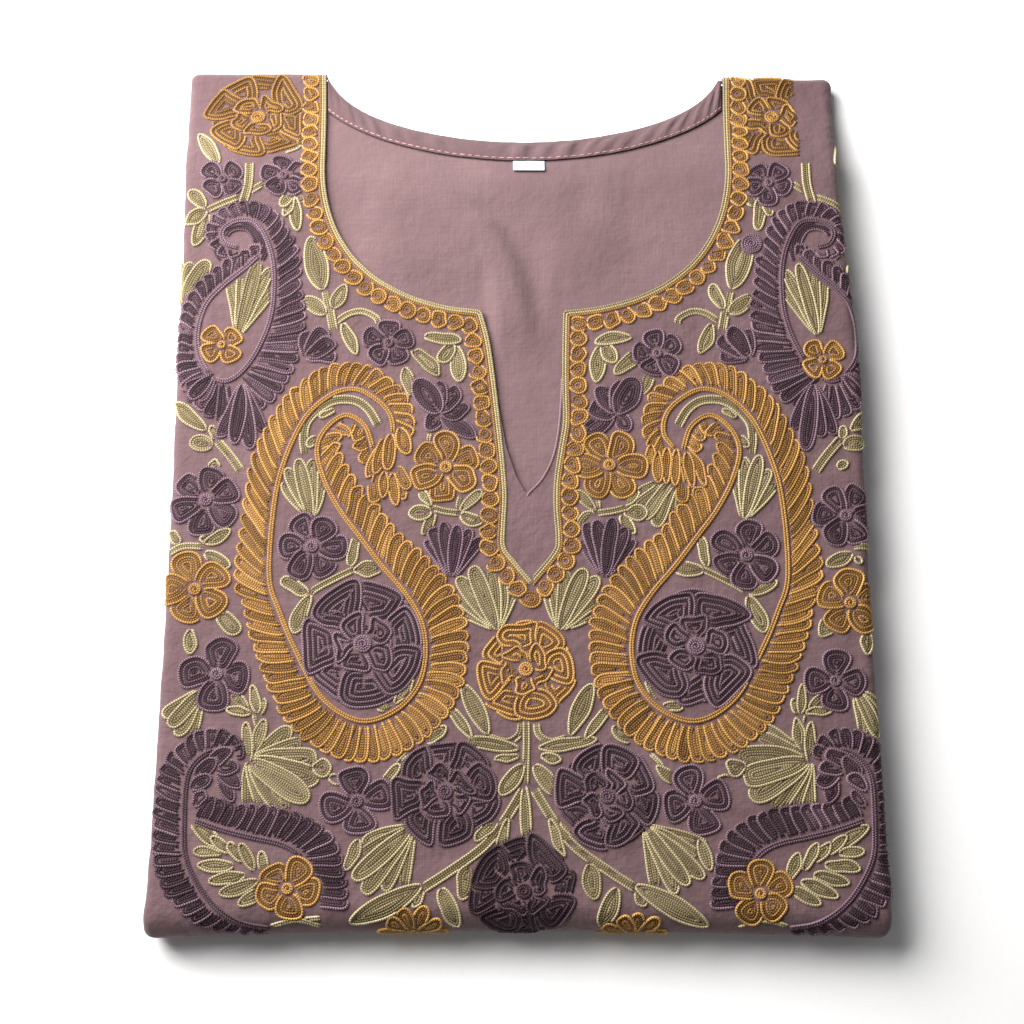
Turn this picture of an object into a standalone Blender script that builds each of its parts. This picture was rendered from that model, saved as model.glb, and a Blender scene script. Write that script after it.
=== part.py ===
"""Folded kurta tunic, lying face up on a flat surface.

The cloth is folded as a shop folds it: the sides and sleeves go behind, then the skirt is folded up
behind the bodice and its end is tucked in between. The front panel is therefore the outer skin of
three storeys: the upper one with the neck, the lower one on the surface, and the tucked tail between
them. A big turn at the lower edge joins the first two, a small turn under the shoulders the last two.
Units are metres, +Z is up, +Y points to the shoulders and the origin is under the middle.
"""

import math
from collections import namedtuple

import bmesh
import bpy

# Sizes of the folded packet
PACKET_LENGTH = 0.4016
STACK_HEIGHT = 0.022
CLOTH_GAP = 0.0003
FRONT_WALL = 0.0016
BACK_WALL = 0.0012
FACING_WALL = 0.0010

# Half widths of the packet left and right of the neck's side of the origin, from shoulder to lower edge
Outline = namedtuple("Outline", "y left right")
OUTLINE = (
    Outline(0.2008, 0.1552, 0.1494),
    Outline(0.1930, 0.1550, 0.1498),
    Outline(0.1750, 0.1544, 0.1492),
    Outline(0.1500, 0.1533, 0.1482),
    Outline(0.1210, 0.1524, 0.1486),
    Outline(0.1000, 0.1522, 0.1503),
    Outline(0.0500, 0.1522, 0.1535),
    Outline(0.0000, 0.1519, 0.1534),
    Outline(-0.0600, 0.1519, 0.1532),
    Outline(-0.1100, 0.1528, 0.1536),
    Outline(-0.1600, 0.1534, 0.1547),
    Outline(-0.1850, 0.1544, 0.1555),
    Outline(-0.2008, 0.1560, 0.1560),
)

# Storeys: the lower one lies on the surface, the tail is tucked between it and the upper one
STOREY_DEPTH = 0.0075
TAIL_DEPTH = 0.0064
TAIL_TOP = 0.0142
LOWER_FOLD_Y = 0.1449
TAIL_END_Y = -0.1830
DEPTH_BLEND_START_Y = 0.0600
LOWER_INSET = 0.0012
TAIL_INSET = 0.0026
EDGE_BOW = 0.0032
RIGHT_SHOULDER_FALL = 0.0030

# Shoulders: past the lower fold they sink to the surface and grow a little thicker
DROOP_START_Y = 0.1360
DROOP_END_Y = 0.1920
SHOULDER_DROP = 0.0120
SHOULDER_DEPTH = 0.0100

# Rolled edges
ROLL_WIDTH = 0.0045
SIDE_ROLL = math.radians(180)
SHOULDER_ROLL = math.radians(118)

# Neck of the front, a squared oval with a V slit
NECK_CENTRE_X = 0.0040
NECK_HALF_WIDTH = 0.0922
NECK_CENTRE_Y = 0.1530
NECK_DEPTH = 0.0790
NECK_SQUARENESS = 2.5
NECK_FLARE = 0.037
Slit = namedtuple("Slit", "y left right")
SLIT = (
    Slit(0.0330, -0.0086, 0.0195),
    Slit(0.0100, -0.0045, 0.0168),
    Slit(-0.0030, -0.0003, 0.0116),
    Slit(-0.0102, 0.0036, 0.0054),
)
SLIT_TOP_LEFT = -0.0156
SLIT_TOP_RIGHT = 0.0209

# Neck of the back, a shallow oval
BACK_NECK_CENTRE_X = 0.0035
BACK_NECK_CENTRE_Y = 0.2064
BACK_NECK_HALF_WIDTH = 0.0945
BACK_NECK_DEPTH = 0.0460
FACING_WIDTH = 0.0106
FACING_RIPPLE = 0.00045
FACING_RIPPLES = 9
FACING_LIFT = 0.0007
FACING_SIDE_GAP = 0.0006
FACING_LAST_Y = 0.1940

# Inside of the back, which sags a little in the neck opening
SAG_DEPTH = 0.0014
SAG_CENTRE = (0.0040, 0.1180)
SAG_REACH = (0.0860, 0.0500)

# Size tab
LABEL_WIDTH = 0.0144
LABEL_HEIGHT = 0.0056
LABEL_WALL = 0.0009
LABEL_CENTRE_X = 0.0057

# Soft unevenness of the upper face: ridges that run up the packet
WAVE_HEIGHT = 0.0005
WAVE_COUNT = 5

# Numbers of faces along the sections
ACROSS_FLAT = 16
ACROSS_ROLL = 6
SHOULDER_ROWS = 4
STRAP_ROWS = 12
BODICE_ROWS = 14
TURN_ROWS = 10
LOWER_ROWS = 7
SMALL_TURN_ROWS = 7
TAIL_ROWS = 4
NECK_POINTS = 15

TURN_RADIUS = STACK_HEIGHT / 2
SMALL_TURN_RADIUS = TAIL_TOP / 2
TURN_CENTRE_Y = -PACKET_LENGTH / 2 + TURN_RADIUS
SMALL_TURN_CENTRE_Y = LOWER_FOLD_Y - SMALL_TURN_RADIUS
SHOULDER_Y = PACKET_LENGTH / 2
FILL_DEPTH = FRONT_WALL + CLOTH_GAP + BACK_WALL + CLOTH_GAP


def smooth_step(value):
    """0 below 0, 1 above 1, and an even S between."""
    value = min(max(value, 0.0), 1.0)
    return value * value * (3 - 2 * value)


def half_width(y, side):
    """Distance from the middle plane to the packet's edge at this height, side -1 left or 1 right."""
    column = "left" if side < 0 else "right"
    rows = OUTLINE
    if y >= rows[0].y:
        return getattr(rows[0], column)
    for upper, lower in zip(rows, rows[1:]):
        if y >= lower.y:
            part = (upper.y - y) / (upper.y - lower.y)
            start = getattr(upper, column)
            return start + (getattr(lower, column) - start) * part
    return getattr(rows[-1], column)


def shoulder_part(y):
    return smooth_step((y - DROOP_START_Y) / (DROOP_END_Y - DROOP_START_Y))


def upper_height(y):
    """Height of the outer face of the upper storey."""
    return STACK_HEIGHT - SHOULDER_DROP * shoulder_part(y)


def upper_depth(y):
    return STOREY_DEPTH + (SHOULDER_DEPTH - STOREY_DEPTH) * shoulder_part(y)


def sag(x, y):
    """How far the back sinks where no front lies over it."""
    across = (x - SAG_CENTRE[0]) / SAG_REACH[0]
    along = (y - SAG_CENTRE[1]) / SAG_REACH[1]
    return SAG_DEPTH * max(0.0, 1 - across * across - along * along)


def shoulder_y(x):
    """Where the shoulder edge lies: the right one is a little short."""
    return SHOULDER_Y - RIGHT_SHOULDER_FALL * smooth_step(x / 0.14)


def turn_centre_y(x):
    """Centre line of the big turn, whose middle is drawn in a little."""
    return TURN_CENTRE_Y + EDGE_BOW * (1 - (x / 0.156) ** 2)


def wave(x, y):
    """Soft ridges of the upper face, none near the edges, the neck or the turn."""
    edge = smooth_step((0.135 - abs(x)) / 0.03)
    ends = smooth_step((y + 0.17) / 0.06) * smooth_step((0.02 - y) / 0.06)
    return -WAVE_HEIGHT * edge * ends * (1 - math.cos(2 * math.pi * WAVE_COUNT * x / 0.3)) / 2


def roll(across, up):
    """Sideways reach, forward reach and depth share on a rolled edge, from its two roll angles."""
    size = math.hypot(across, up)
    if size < 1e-9:
        return 0.0, 0.0, 0.0
    cosine, sine = across / size, up / size
    edge = min(
        SIDE_ROLL / cosine if cosine > 1e-9 else math.inf,
        SHOULDER_ROLL / sine if sine > 1e-9 else math.inf,
    )
    limit = SIDE_ROLL * cosine**2 + SHOULDER_ROLL * sine**2
    angle = size * limit / edge
    reach = ROLL_WIDTH * math.sin(angle)
    return reach * cosine, reach * sine, (1 - math.cos(angle)) / 2


def lengthwise_rows():
    """The rows of the front panel from the shoulder roll to the end of the tail, as (stretch, place)."""
    rows = [("shoulder", 1 - i / SHOULDER_ROWS) for i in range(SHOULDER_ROWS)]
    rows += [("strap", i / STRAP_ROWS) for i in range(STRAP_ROWS)]
    rows += [("bodice", i / BODICE_ROWS) for i in range(BODICE_ROWS)]
    rows += [("turn", i / TURN_ROWS) for i in range(TURN_ROWS)]
    rows += [("lower", i / LOWER_ROWS) for i in range(LOWER_ROWS)]
    rows += [("small_turn", i / SMALL_TURN_ROWS) for i in range(SMALL_TURN_ROWS)]
    rows += [("tail", i / TAIL_ROWS) for i in range(TAIL_ROWS + 1)]
    return rows


def crosswise_columns():
    """The columns from the left roll to the right roll, as (side, place on the flat, roll angle)."""
    left = [(-1, 1.0, SIDE_ROLL * (1 - i / ACROSS_ROLL)) for i in range(ACROSS_ROLL)]
    flat = [(0, -1 + 2 * i / ACROSS_FLAT, 0.0) for i in range(ACROSS_FLAT + 1)]
    right = [(1, 1.0, SIDE_ROLL * (i + 1) / ACROSS_ROLL) for i in range(ACROSS_ROLL)]
    return left + flat + right


def front_point(row, column):
    """A point of the front panel's outer face."""
    stretch, place = row
    side, flat_place, angle = column
    toward = side if side else (1 if flat_place > 0 else -1)
    share = 1.0 if side else abs(flat_place)

    def x_at(y, inset):
        return toward * share * (half_width(y, toward) - inset - ROLL_WIDTH)

    if stretch in ("shoulder", "strap", "bodice"):
        start = shoulder_y(toward * share * 0.145) - ROLL_WIDTH
        if stretch == "bodice":
            y = DROOP_START_Y + (turn_centre_y(toward * share * 0.15) - DROOP_START_Y) * place
        else:
            y = start + (DROOP_START_Y - start) * (place if stretch == "strap" else 0.0)
        x = x_at(y, 0.0)
        up = SHOULDER_ROLL * place if stretch == "shoulder" else 0.0
        sideways, forward, depth = roll(angle, up)
        z = upper_height(y) - depth * upper_depth(y)
        if not side and not up:
            z += wave(x, y)
        return x + toward * sideways, y + forward, z

    sideways, _, depth = roll(angle, 0.0)
    if stretch == "turn":
        x = x_at(-SHOULDER_Y, LOWER_INSET * place)
        turned = math.pi / 2 + math.pi * place
        radius = TURN_RADIUS - depth * STOREY_DEPTH
        y = turn_centre_y(x) + radius * math.cos(turned)
        return x + toward * sideways, y, TURN_RADIUS + radius * math.sin(turned)
    if stretch == "lower":
        end = turn_centre_y(toward * share * 0.15)
        y = end + (SMALL_TURN_CENTRE_Y - end) * place
        blend = smooth_step((y - DEPTH_BLEND_START_Y) / (SMALL_TURN_CENTRE_Y - DEPTH_BLEND_START_Y))
        x = x_at(y, LOWER_INSET)
        return x + toward * sideways, y, depth * (STOREY_DEPTH + (TAIL_DEPTH - STOREY_DEPTH) * blend)
    if stretch == "small_turn":
        x = x_at(LOWER_FOLD_Y, LOWER_INSET + (TAIL_INSET - LOWER_INSET) * place)
        turned = -math.pi / 2 + math.pi * place
        radius = SMALL_TURN_RADIUS - depth * TAIL_DEPTH
        y = SMALL_TURN_CENTRE_Y + radius * math.cos(turned)
        return x + toward * sideways, y, SMALL_TURN_RADIUS + radius * math.sin(turned)
    y = SMALL_TURN_CENTRE_Y + (TAIL_END_Y - SMALL_TURN_CENTRE_Y) * place
    x = x_at(y, TAIL_INSET)
    return x + toward * sideways, y, TAIL_TOP - depth * TAIL_DEPTH


def neck_y(x):
    """The front neck edge below its widest place."""
    share = min(abs(x - NECK_CENTRE_X) / NECK_HALF_WIDTH, 1.0)
    return NECK_CENTRE_Y - NECK_DEPTH * (1 - share**NECK_SQUARENESS) ** (1 / NECK_SQUARENESS)


def neck_outline(past):
    """The neck and slit of the front seen from above, left to right, closed beyond the shoulders."""
    flare = NECK_FLARE * (past - NECK_CENTRE_Y)
    left_edge = NECK_CENTRE_X - NECK_HALF_WIDTH
    right_edge = NECK_CENTRE_X + NECK_HALF_WIDTH
    points = [(left_edge - flare, past)]
    for i in range(NECK_POINTS):
        angle = math.pi / 2 * i / NECK_POINTS
        x = left_edge + (SLIT_TOP_LEFT - left_edge) * (1 - math.cos(angle))
        points.append((x, neck_y(x)))
    points.append((SLIT_TOP_LEFT, neck_y(SLIT_TOP_LEFT)))
    points += [(row.left, row.y) for row in SLIT]
    points += [(row.right, row.y) for row in reversed(SLIT)]
    points.append((SLIT_TOP_RIGHT, neck_y(SLIT_TOP_RIGHT)))
    for i in reversed(range(NECK_POINTS)):
        angle = math.pi / 2 * i / NECK_POINTS
        x = right_edge - (right_edge - SLIT_TOP_RIGHT) * (1 - math.cos(angle))
        points.append((x, neck_y(x)))
    points.append((right_edge + flare, past))
    return points


def strap_gap_outline(start, past):
    """The space between the two shoulder straps above the given height."""
    edges = []
    for y in (past, start):
        flare = NECK_FLARE * (y - NECK_CENTRE_Y)
        edges.append((NECK_CENTRE_X - NECK_HALF_WIDTH - flare, y))
    for y in (start, past):
        flare = NECK_FLARE * (y - NECK_CENTRE_Y)
        edges.append((NECK_CENTRE_X + NECK_HALF_WIDTH + flare, y))
    return edges


def back_neck_point(place, wider):
    """A point of the back neckline, place 0 at the left shoulder and 1 at the right."""
    angle = math.pi * (1 + place)
    x = BACK_NECK_CENTRE_X + (BACK_NECK_HALF_WIDTH + wider) * math.cos(angle)
    return x, BACK_NECK_CENTRE_Y + (BACK_NECK_DEPTH + wider) * math.sin(angle)


def new_object(name, mesh_data, collection, material):
    obj = bpy.data.objects.new(name, mesh_data)
    collection.objects.link(obj)
    if material:
        mesh_data.materials.append(material)
    return obj


def prism(name, outline, low, high, collection):
    """A cutter with this outline, standing between two heights."""
    bm = bmesh.new()
    corners = [bm.verts.new((x, y, low)) for x, y in outline]
    face = bm.faces.new(corners)
    raised = bmesh.ops.extrude_face_region(bm, geom=[face])["geom"]
    top = [item for item in raised if isinstance(item, bmesh.types.BMVert)]
    bmesh.ops.translate(bm, vec=(0, 0, high - low), verts=top)
    bmesh.ops.recalc_face_normals(bm, faces=bm.faces)
    data = bpy.data.meshes.new(name)
    bm.to_mesh(data)
    bm.free()
    cutter = new_object(name, data, collection, None)
    cutter.hide_render = True
    cutter.display_type = "WIRE"
    return cutter


def sheet(name, across, along, place, collection, material):
    """An open sheet: a grid whose points are set by place(row, column)."""
    bm = bmesh.new()
    bmesh.ops.create_grid(bm, x_segments=across, y_segments=along, size=1.0)
    for vert in bm.verts:
        column = round((vert.co.x + 1) / 2 * across)
        row = round((1 - vert.co.y) / 2 * along)
        vert.co = place(row, column)
    data = bpy.data.meshes.new(name)
    bm.to_mesh(data)
    bm.free()
    return new_object(name, data, collection, material)


def thicken(obj, wall):
    """Gives an open sheet its wall, on the side away from its face normals."""
    modifier = obj.modifiers.new("wall", "SOLIDIFY")
    modifier.thickness = wall
    modifier.offset = -1


def cut(obj, cutter):
    modifier = obj.modifiers.new("cut", "BOOLEAN")
    modifier.operation = "DIFFERENCE"
    modifier.solver = "EXACT"
    modifier.object = cutter


def join(obj, other):
    modifier = obj.modifiers.new("join", "BOOLEAN")
    modifier.operation = "UNION"
    modifier.solver = "EXACT"
    modifier.object = other
    other.hide_render = True
    other.display_type = "WIRE"


def loft(name, rings, collection, material):
    """A closed solid through rings of points with the same count, ends closed."""
    bm = bmesh.new()
    loops = [[bm.verts.new(point) for point in ring] for ring in rings]
    for one, other in zip(loops, loops[1:]):
        for i in range(len(one)):
            j = (i + 1) % len(one)
            bm.faces.new((one[i], one[j], other[j], other[i]))
    bm.faces.new(loops[0])
    bm.faces.new(loops[-1])
    bmesh.ops.recalc_face_normals(bm, faces=bm.faces)
    data = bpy.data.meshes.new(name)
    bm.to_mesh(data)
    bm.free()
    return new_object(name, data, collection, material)


def layered_ring(y, levels):
    """A ring across the packet from (height, inset) levels on each side, inset from the inner roll edge."""
    ring = []
    for side, steps in ((1, levels), (-1, tuple(reversed(levels)))):
        for height, inset in steps:
            reach = half_width(y, side) - ROLL_WIDTH - 3 * CLOTH_GAP - TAIL_INSET - inset
            ring.append((side * reach, y, height))
    return ring


def cloth_material(name, colour, roughness):
    material = bpy.data.materials.new(name)
    material.use_nodes = True
    shader = material.node_tree.nodes["Principled BSDF"]
    shader.inputs["Base Color"].default_value = (*colour, 1.0)
    shader.inputs["Roughness"].default_value = roughness
    shader.inputs["Metallic"].default_value = 0.0
    return material


def make_front_panel(parts, cutters):
    """The outer skin of all three storeys, with the neck and slit cut out of the upper one."""
    rows = lengthwise_rows()
    columns = crosswise_columns()
    panel = sheet(
        "front_panel",
        len(columns) - 1,
        len(rows) - 1,
        lambda row, column: front_point(rows[row], columns[column]),
        parts,
        cloth_material("mauve_cotton", (0.43, 0.30, 0.31), 0.9),
    )
    thicken(panel, FRONT_WALL)
    past = 0.22
    upper_only = STACK_HEIGHT - STOREY_DEPTH + 0.0010
    cut(panel, prism("neck_cutter", neck_outline(past), upper_only, 0.04, cutters))
    strap_start = 0.1500
    cut(panel, prism("strap_gap_cutter", strap_gap_outline(strap_start, past), -0.01, 0.04, cutters))
    return panel


def upper_stops(start, end):
    """Places along the upper storey, close together where the shoulders sink."""
    straps = [start + (DROOP_START_Y - start) * i / STRAP_ROWS for i in range(STRAP_ROWS)]
    return straps + [DROOP_START_Y + (end - DROOP_START_Y) * i / BODICE_ROWS for i in range(BODICE_ROWS + 1)]


def back_top(x, y):
    """Height of the upper face of the back panel."""
    return upper_height(y) - FRONT_WALL - CLOTH_GAP - sag(x, y) + wave(x, y)


def make_back_panel(parts, cutter):
    """The inside of the back under the front, down to the big turn."""
    across = 20

    def place(row, column):
        share = -1 + 2 * column / across
        toward = 1 if share > 0 else -1
        start = shoulder_y(share * 0.145) - ROLL_WIDTH - CLOTH_GAP
        y = upper_stops(start, TAIL_END_Y)[row]
        x = share * (half_width(y, toward) - ROLL_WIDTH - CLOTH_GAP)
        return x, y, back_top(x, y)

    colour = (0.40, 0.28, 0.29)
    along = STRAP_ROWS + BODICE_ROWS
    panel = sheet("back_panel", across, along, place, parts, cloth_material("mauve_inside", colour, 0.9))
    thicken(panel, BACK_WALL)
    cut(panel, cutter)
    return panel


def make_folded_layers(parts, cutters, cutter):
    """The hidden layers: sleeves, side parts and skirt, as one solid that is layered at its sides."""
    material = cloth_material("mauve_layers", (0.38, 0.27, 0.28), 0.9)
    lower_skin = FRONT_WALL + CLOTH_GAP

    def upper_ring(y):
        low = upper_height(y) - upper_depth(y)
        high = upper_height(y) - FILL_DEPTH - SAG_DEPTH - WAVE_HEIGHT
        middle = (low + high) / 2
        return layered_ring(
            y,
            ((low, 0.0008), (low + 0.0006, 0.0), (middle - 0.0004, 0.0), (middle, 0.0006),
             (middle + 0.0004, 0.0), (high - 0.0004, 0.0), (high, 0.0006)),
        )

    shoulder_end = SHOULDER_Y - RIGHT_SHOULDER_FALL - ROLL_WIDTH - CLOTH_GAP
    straight_end = TURN_CENTRE_Y + EDGE_BOW
    rings = [upper_ring(y) for y in upper_stops(shoulder_end, straight_end)]
    layers = loft("folded_layers", rings, parts, material)

    groove = STOREY_DEPTH + CLOTH_GAP / 2
    high = TAIL_TOP - FRONT_WALL - CLOTH_GAP
    inner = SMALL_TURN_RADIUS - FRONT_WALL - CLOTH_GAP

    def lower_ring(y, squeeze):
        levels = (
            (lower_skin, 0.0010), (lower_skin + 0.0010, 0.0), (groove - 0.0014, 0.0), (groove, 0.0030),
            (groove + 0.0012, 0.0), (high - 0.0010, 0.0), (high, 0.0010),
        )
        middle = SMALL_TURN_RADIUS
        return layered_ring(y, tuple((middle + (z - middle) * squeeze, inset) for z, inset in levels))

    lower_end = straight_end - CLOTH_GAP
    rings = [lower_ring(lower_end + (SMALL_TURN_CENTRE_Y - lower_end) * i / 8, 1.0) for i in range(9)]
    for i in range(1, 6):
        angle = math.radians(80) * i / 5
        rings.append(lower_ring(SMALL_TURN_CENTRE_Y + inner * math.sin(angle), math.cos(angle)))
    join(layers, loft("lower_layers", rings, cutters, None))

    core = TURN_RADIUS - FRONT_WALL - 2 * CLOTH_GAP
    core_inset = 0.0005

    def core_ring(y, reach):
        middle = TURN_RADIUS
        levels = ((middle - reach, core_inset), (middle, core_inset), (middle + reach, core_inset))
        return layered_ring(y, levels)

    rings = [core_ring(TAIL_END_Y - CLOTH_GAP - 0.0005, core)]
    for i in range(8):
        angle = math.radians(82) * i / 7
        rings.append(core_ring(straight_end + CLOTH_GAP - core * math.sin(angle), core * math.cos(angle)))
    join(layers, loft("turn_core", rings, cutters, None))
    cut(layers, cutter)
    return layers


def facing_end(side, wider):
    """Angle from the level at which the facing meets the front's neck edge or the shoulder."""
    last_y = FACING_LAST_Y - (RIGHT_SHOULDER_FALL if side > 0 else 0.0)
    y = last_y
    for _ in range(4):
        edge = NECK_CENTRE_X + side * (NECK_HALF_WIDTH + NECK_FLARE * (y - NECK_CENTRE_Y) - FACING_SIDE_GAP)
        reach = abs(edge - BACK_NECK_CENTRE_X) / (BACK_NECK_HALF_WIDTH + wider)
        y = min(last_y, BACK_NECK_CENTRE_Y - (BACK_NECK_DEPTH + wider) * math.sin(math.acos(min(reach, 1.0))))
    return math.asin((BACK_NECK_CENTRE_Y - y) / (BACK_NECK_DEPTH + wider))


def make_facing(parts):
    """The strip stitched to the inside along the back neckline, between the two straps of the front."""
    across, along = 46, 3

    def place(row, column):
        wider = FACING_WIDTH * row / along + 0.0002
        start = facing_end(-1, wider) / math.pi
        end = 1 - facing_end(1, wider) / math.pi
        x, y = back_neck_point(start + (end - start) * column / across, wider)
        ripple = FACING_RIPPLE * math.sin(2 * math.pi * FACING_RIPPLES * column / across) * row / along
        return x, y, back_top(x, y) + FACING_LIFT + FACING_WALL + FACING_RIPPLE + ripple

    colour = (0.40, 0.28, 0.29)
    facing = sheet("back_neck_facing", across, along, place, parts, cloth_material("mauve_facing", colour, 0.9))
    thicken(facing, FACING_WALL)
    return facing


def make_label(parts):
    """The blank tape tab that hangs from the facing seam."""
    across, along = 6, 3

    def place(row, column):
        x = LABEL_CENTRE_X + LABEL_WIDTH * (column / across - 0.5)
        top = BACK_NECK_CENTRE_Y - BACK_NECK_DEPTH - FACING_WIDTH - 2 * CLOTH_GAP
        y = top - LABEL_HEIGHT * row / along
        curl = 0.0006 * (row / along) ** 2
        return x, y, back_top(x, y) + CLOTH_GAP + LABEL_WALL + curl

    label = sheet("size_label", across, along, place, parts, cloth_material("white_tape", (0.80, 0.84, 0.88), 0.7))
    thicken(label, LABEL_WALL)
    return label


def main():
    for obj in list(bpy.data.objects):
        bpy.data.objects.remove(obj, do_unlink=True)
    parts = bpy.data.collections.new("folded_kurta")
    cutters = bpy.data.collections.new("cutters")
    for collection in (parts, cutters):
        bpy.context.scene.collection.children.link(collection)
    curve = [back_neck_point(i / 36, 0.0) for i in range(37)]
    closing = [(curve[-1][0], 0.22), (curve[0][0], 0.22)]
    back_cutter = prism("back_neck_cutter", curve + closing, -0.01, 0.04, cutters)
    make_front_panel(parts, cutters)
    make_back_panel(parts, back_cutter)
    wide = [back_neck_point(i / 36, 0.0010) for i in range(37)]
    wide_closing = [(wide[-1][0], 0.22), (wide[0][0], 0.22)]
    layer_cutter = prism("layer_neck_cutter", wide + wide_closing, -0.01, 0.04, cutters)
    make_folded_layers(parts, cutters, layer_cutter)
    make_facing(parts)
    make_label(parts)


main()
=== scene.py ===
"""Looks of the folded, embroidered kurta tunic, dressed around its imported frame.

The cloth of the frame is replaced by thin shells with soft puckers. The embroidery is sewn on the
front cloth as rows of chain stitch: every motif is drawn by a function from a few sizes in
millimetres, filled with nested rows, and each row becomes a small raised cord that follows the cloth
over its rolled edges and round the lower turn.
Metres are used for the cloth, and millimetres on the cloth (x across, y towards the shoulders) for
the embroidery.
"""

import logging
import math
from dataclasses import dataclass, field
from enum import Enum
from typing import Callable, Iterable, NamedTuple

import bmesh
import bpy
import numpy as np
from mathutils import Matrix, Vector


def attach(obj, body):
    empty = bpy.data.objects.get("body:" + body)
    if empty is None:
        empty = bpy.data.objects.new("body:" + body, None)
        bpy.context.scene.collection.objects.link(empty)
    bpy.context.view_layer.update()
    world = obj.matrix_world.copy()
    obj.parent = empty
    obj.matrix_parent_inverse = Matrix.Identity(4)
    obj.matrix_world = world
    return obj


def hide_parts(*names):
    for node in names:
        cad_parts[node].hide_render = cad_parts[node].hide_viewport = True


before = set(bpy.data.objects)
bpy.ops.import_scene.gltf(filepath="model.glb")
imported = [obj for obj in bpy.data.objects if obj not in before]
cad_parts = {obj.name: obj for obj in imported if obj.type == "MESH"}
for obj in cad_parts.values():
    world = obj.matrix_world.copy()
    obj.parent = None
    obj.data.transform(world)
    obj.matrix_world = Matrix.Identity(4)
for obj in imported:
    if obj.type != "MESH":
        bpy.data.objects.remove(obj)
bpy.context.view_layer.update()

log = logging.getLogger("kurta")

MM = 0.001
BODY = "root"
TINY = 1e-9
# A cutter through all of the cloth stands between these heights
CUT_LOW = -0.01
CUT_HIGH = 0.04


def linear(colour: str) -> tuple[float, float, float, float]:
    """Turns an sRGB hex value into a linear colour.

    Args:
        colour: Six hex digits, such as "b39798".

    Returns:
        Red, green, blue and an alpha of one.
    """
    parts = [int(colour[i : i + 2], 16) / 255 for i in (0, 2, 4)]
    return (*[p / 12.92 if p <= 0.04045 else ((p + 0.055) / 1.055) ** 2.4 for p in parts], 1.0)


def smooth_step(value: np.ndarray) -> np.ndarray:
    """An even S from 0 to 1, flat outside."""
    value = np.clip(value, 0.0, 1.0)
    return value * value * (3 - 2 * value)


class OutlineRow(NamedTuple):
    """Half widths of the packet at one height."""

    y: float
    left: float
    right: float


class SlitRow(NamedTuple):
    """Edges of the neck slit at one height."""

    y: float
    left: float
    right: float


class ValleyRow(NamedTuple):
    """The crease in the back at one height: its place across and its depth, 0 to 1."""

    y: float
    x: float
    depth: float


class Folds(NamedTuple):
    """How far round the folds a place of the cloth is, and how far the flat cloth reaches there."""

    start: np.ndarray
    turn: np.ndarray
    past_turn: np.ndarray
    lower: np.ndarray
    small_y: float
    past_small: np.ndarray
    tail: np.ndarray
    y_flat: np.ndarray
    edge: np.ndarray


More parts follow.
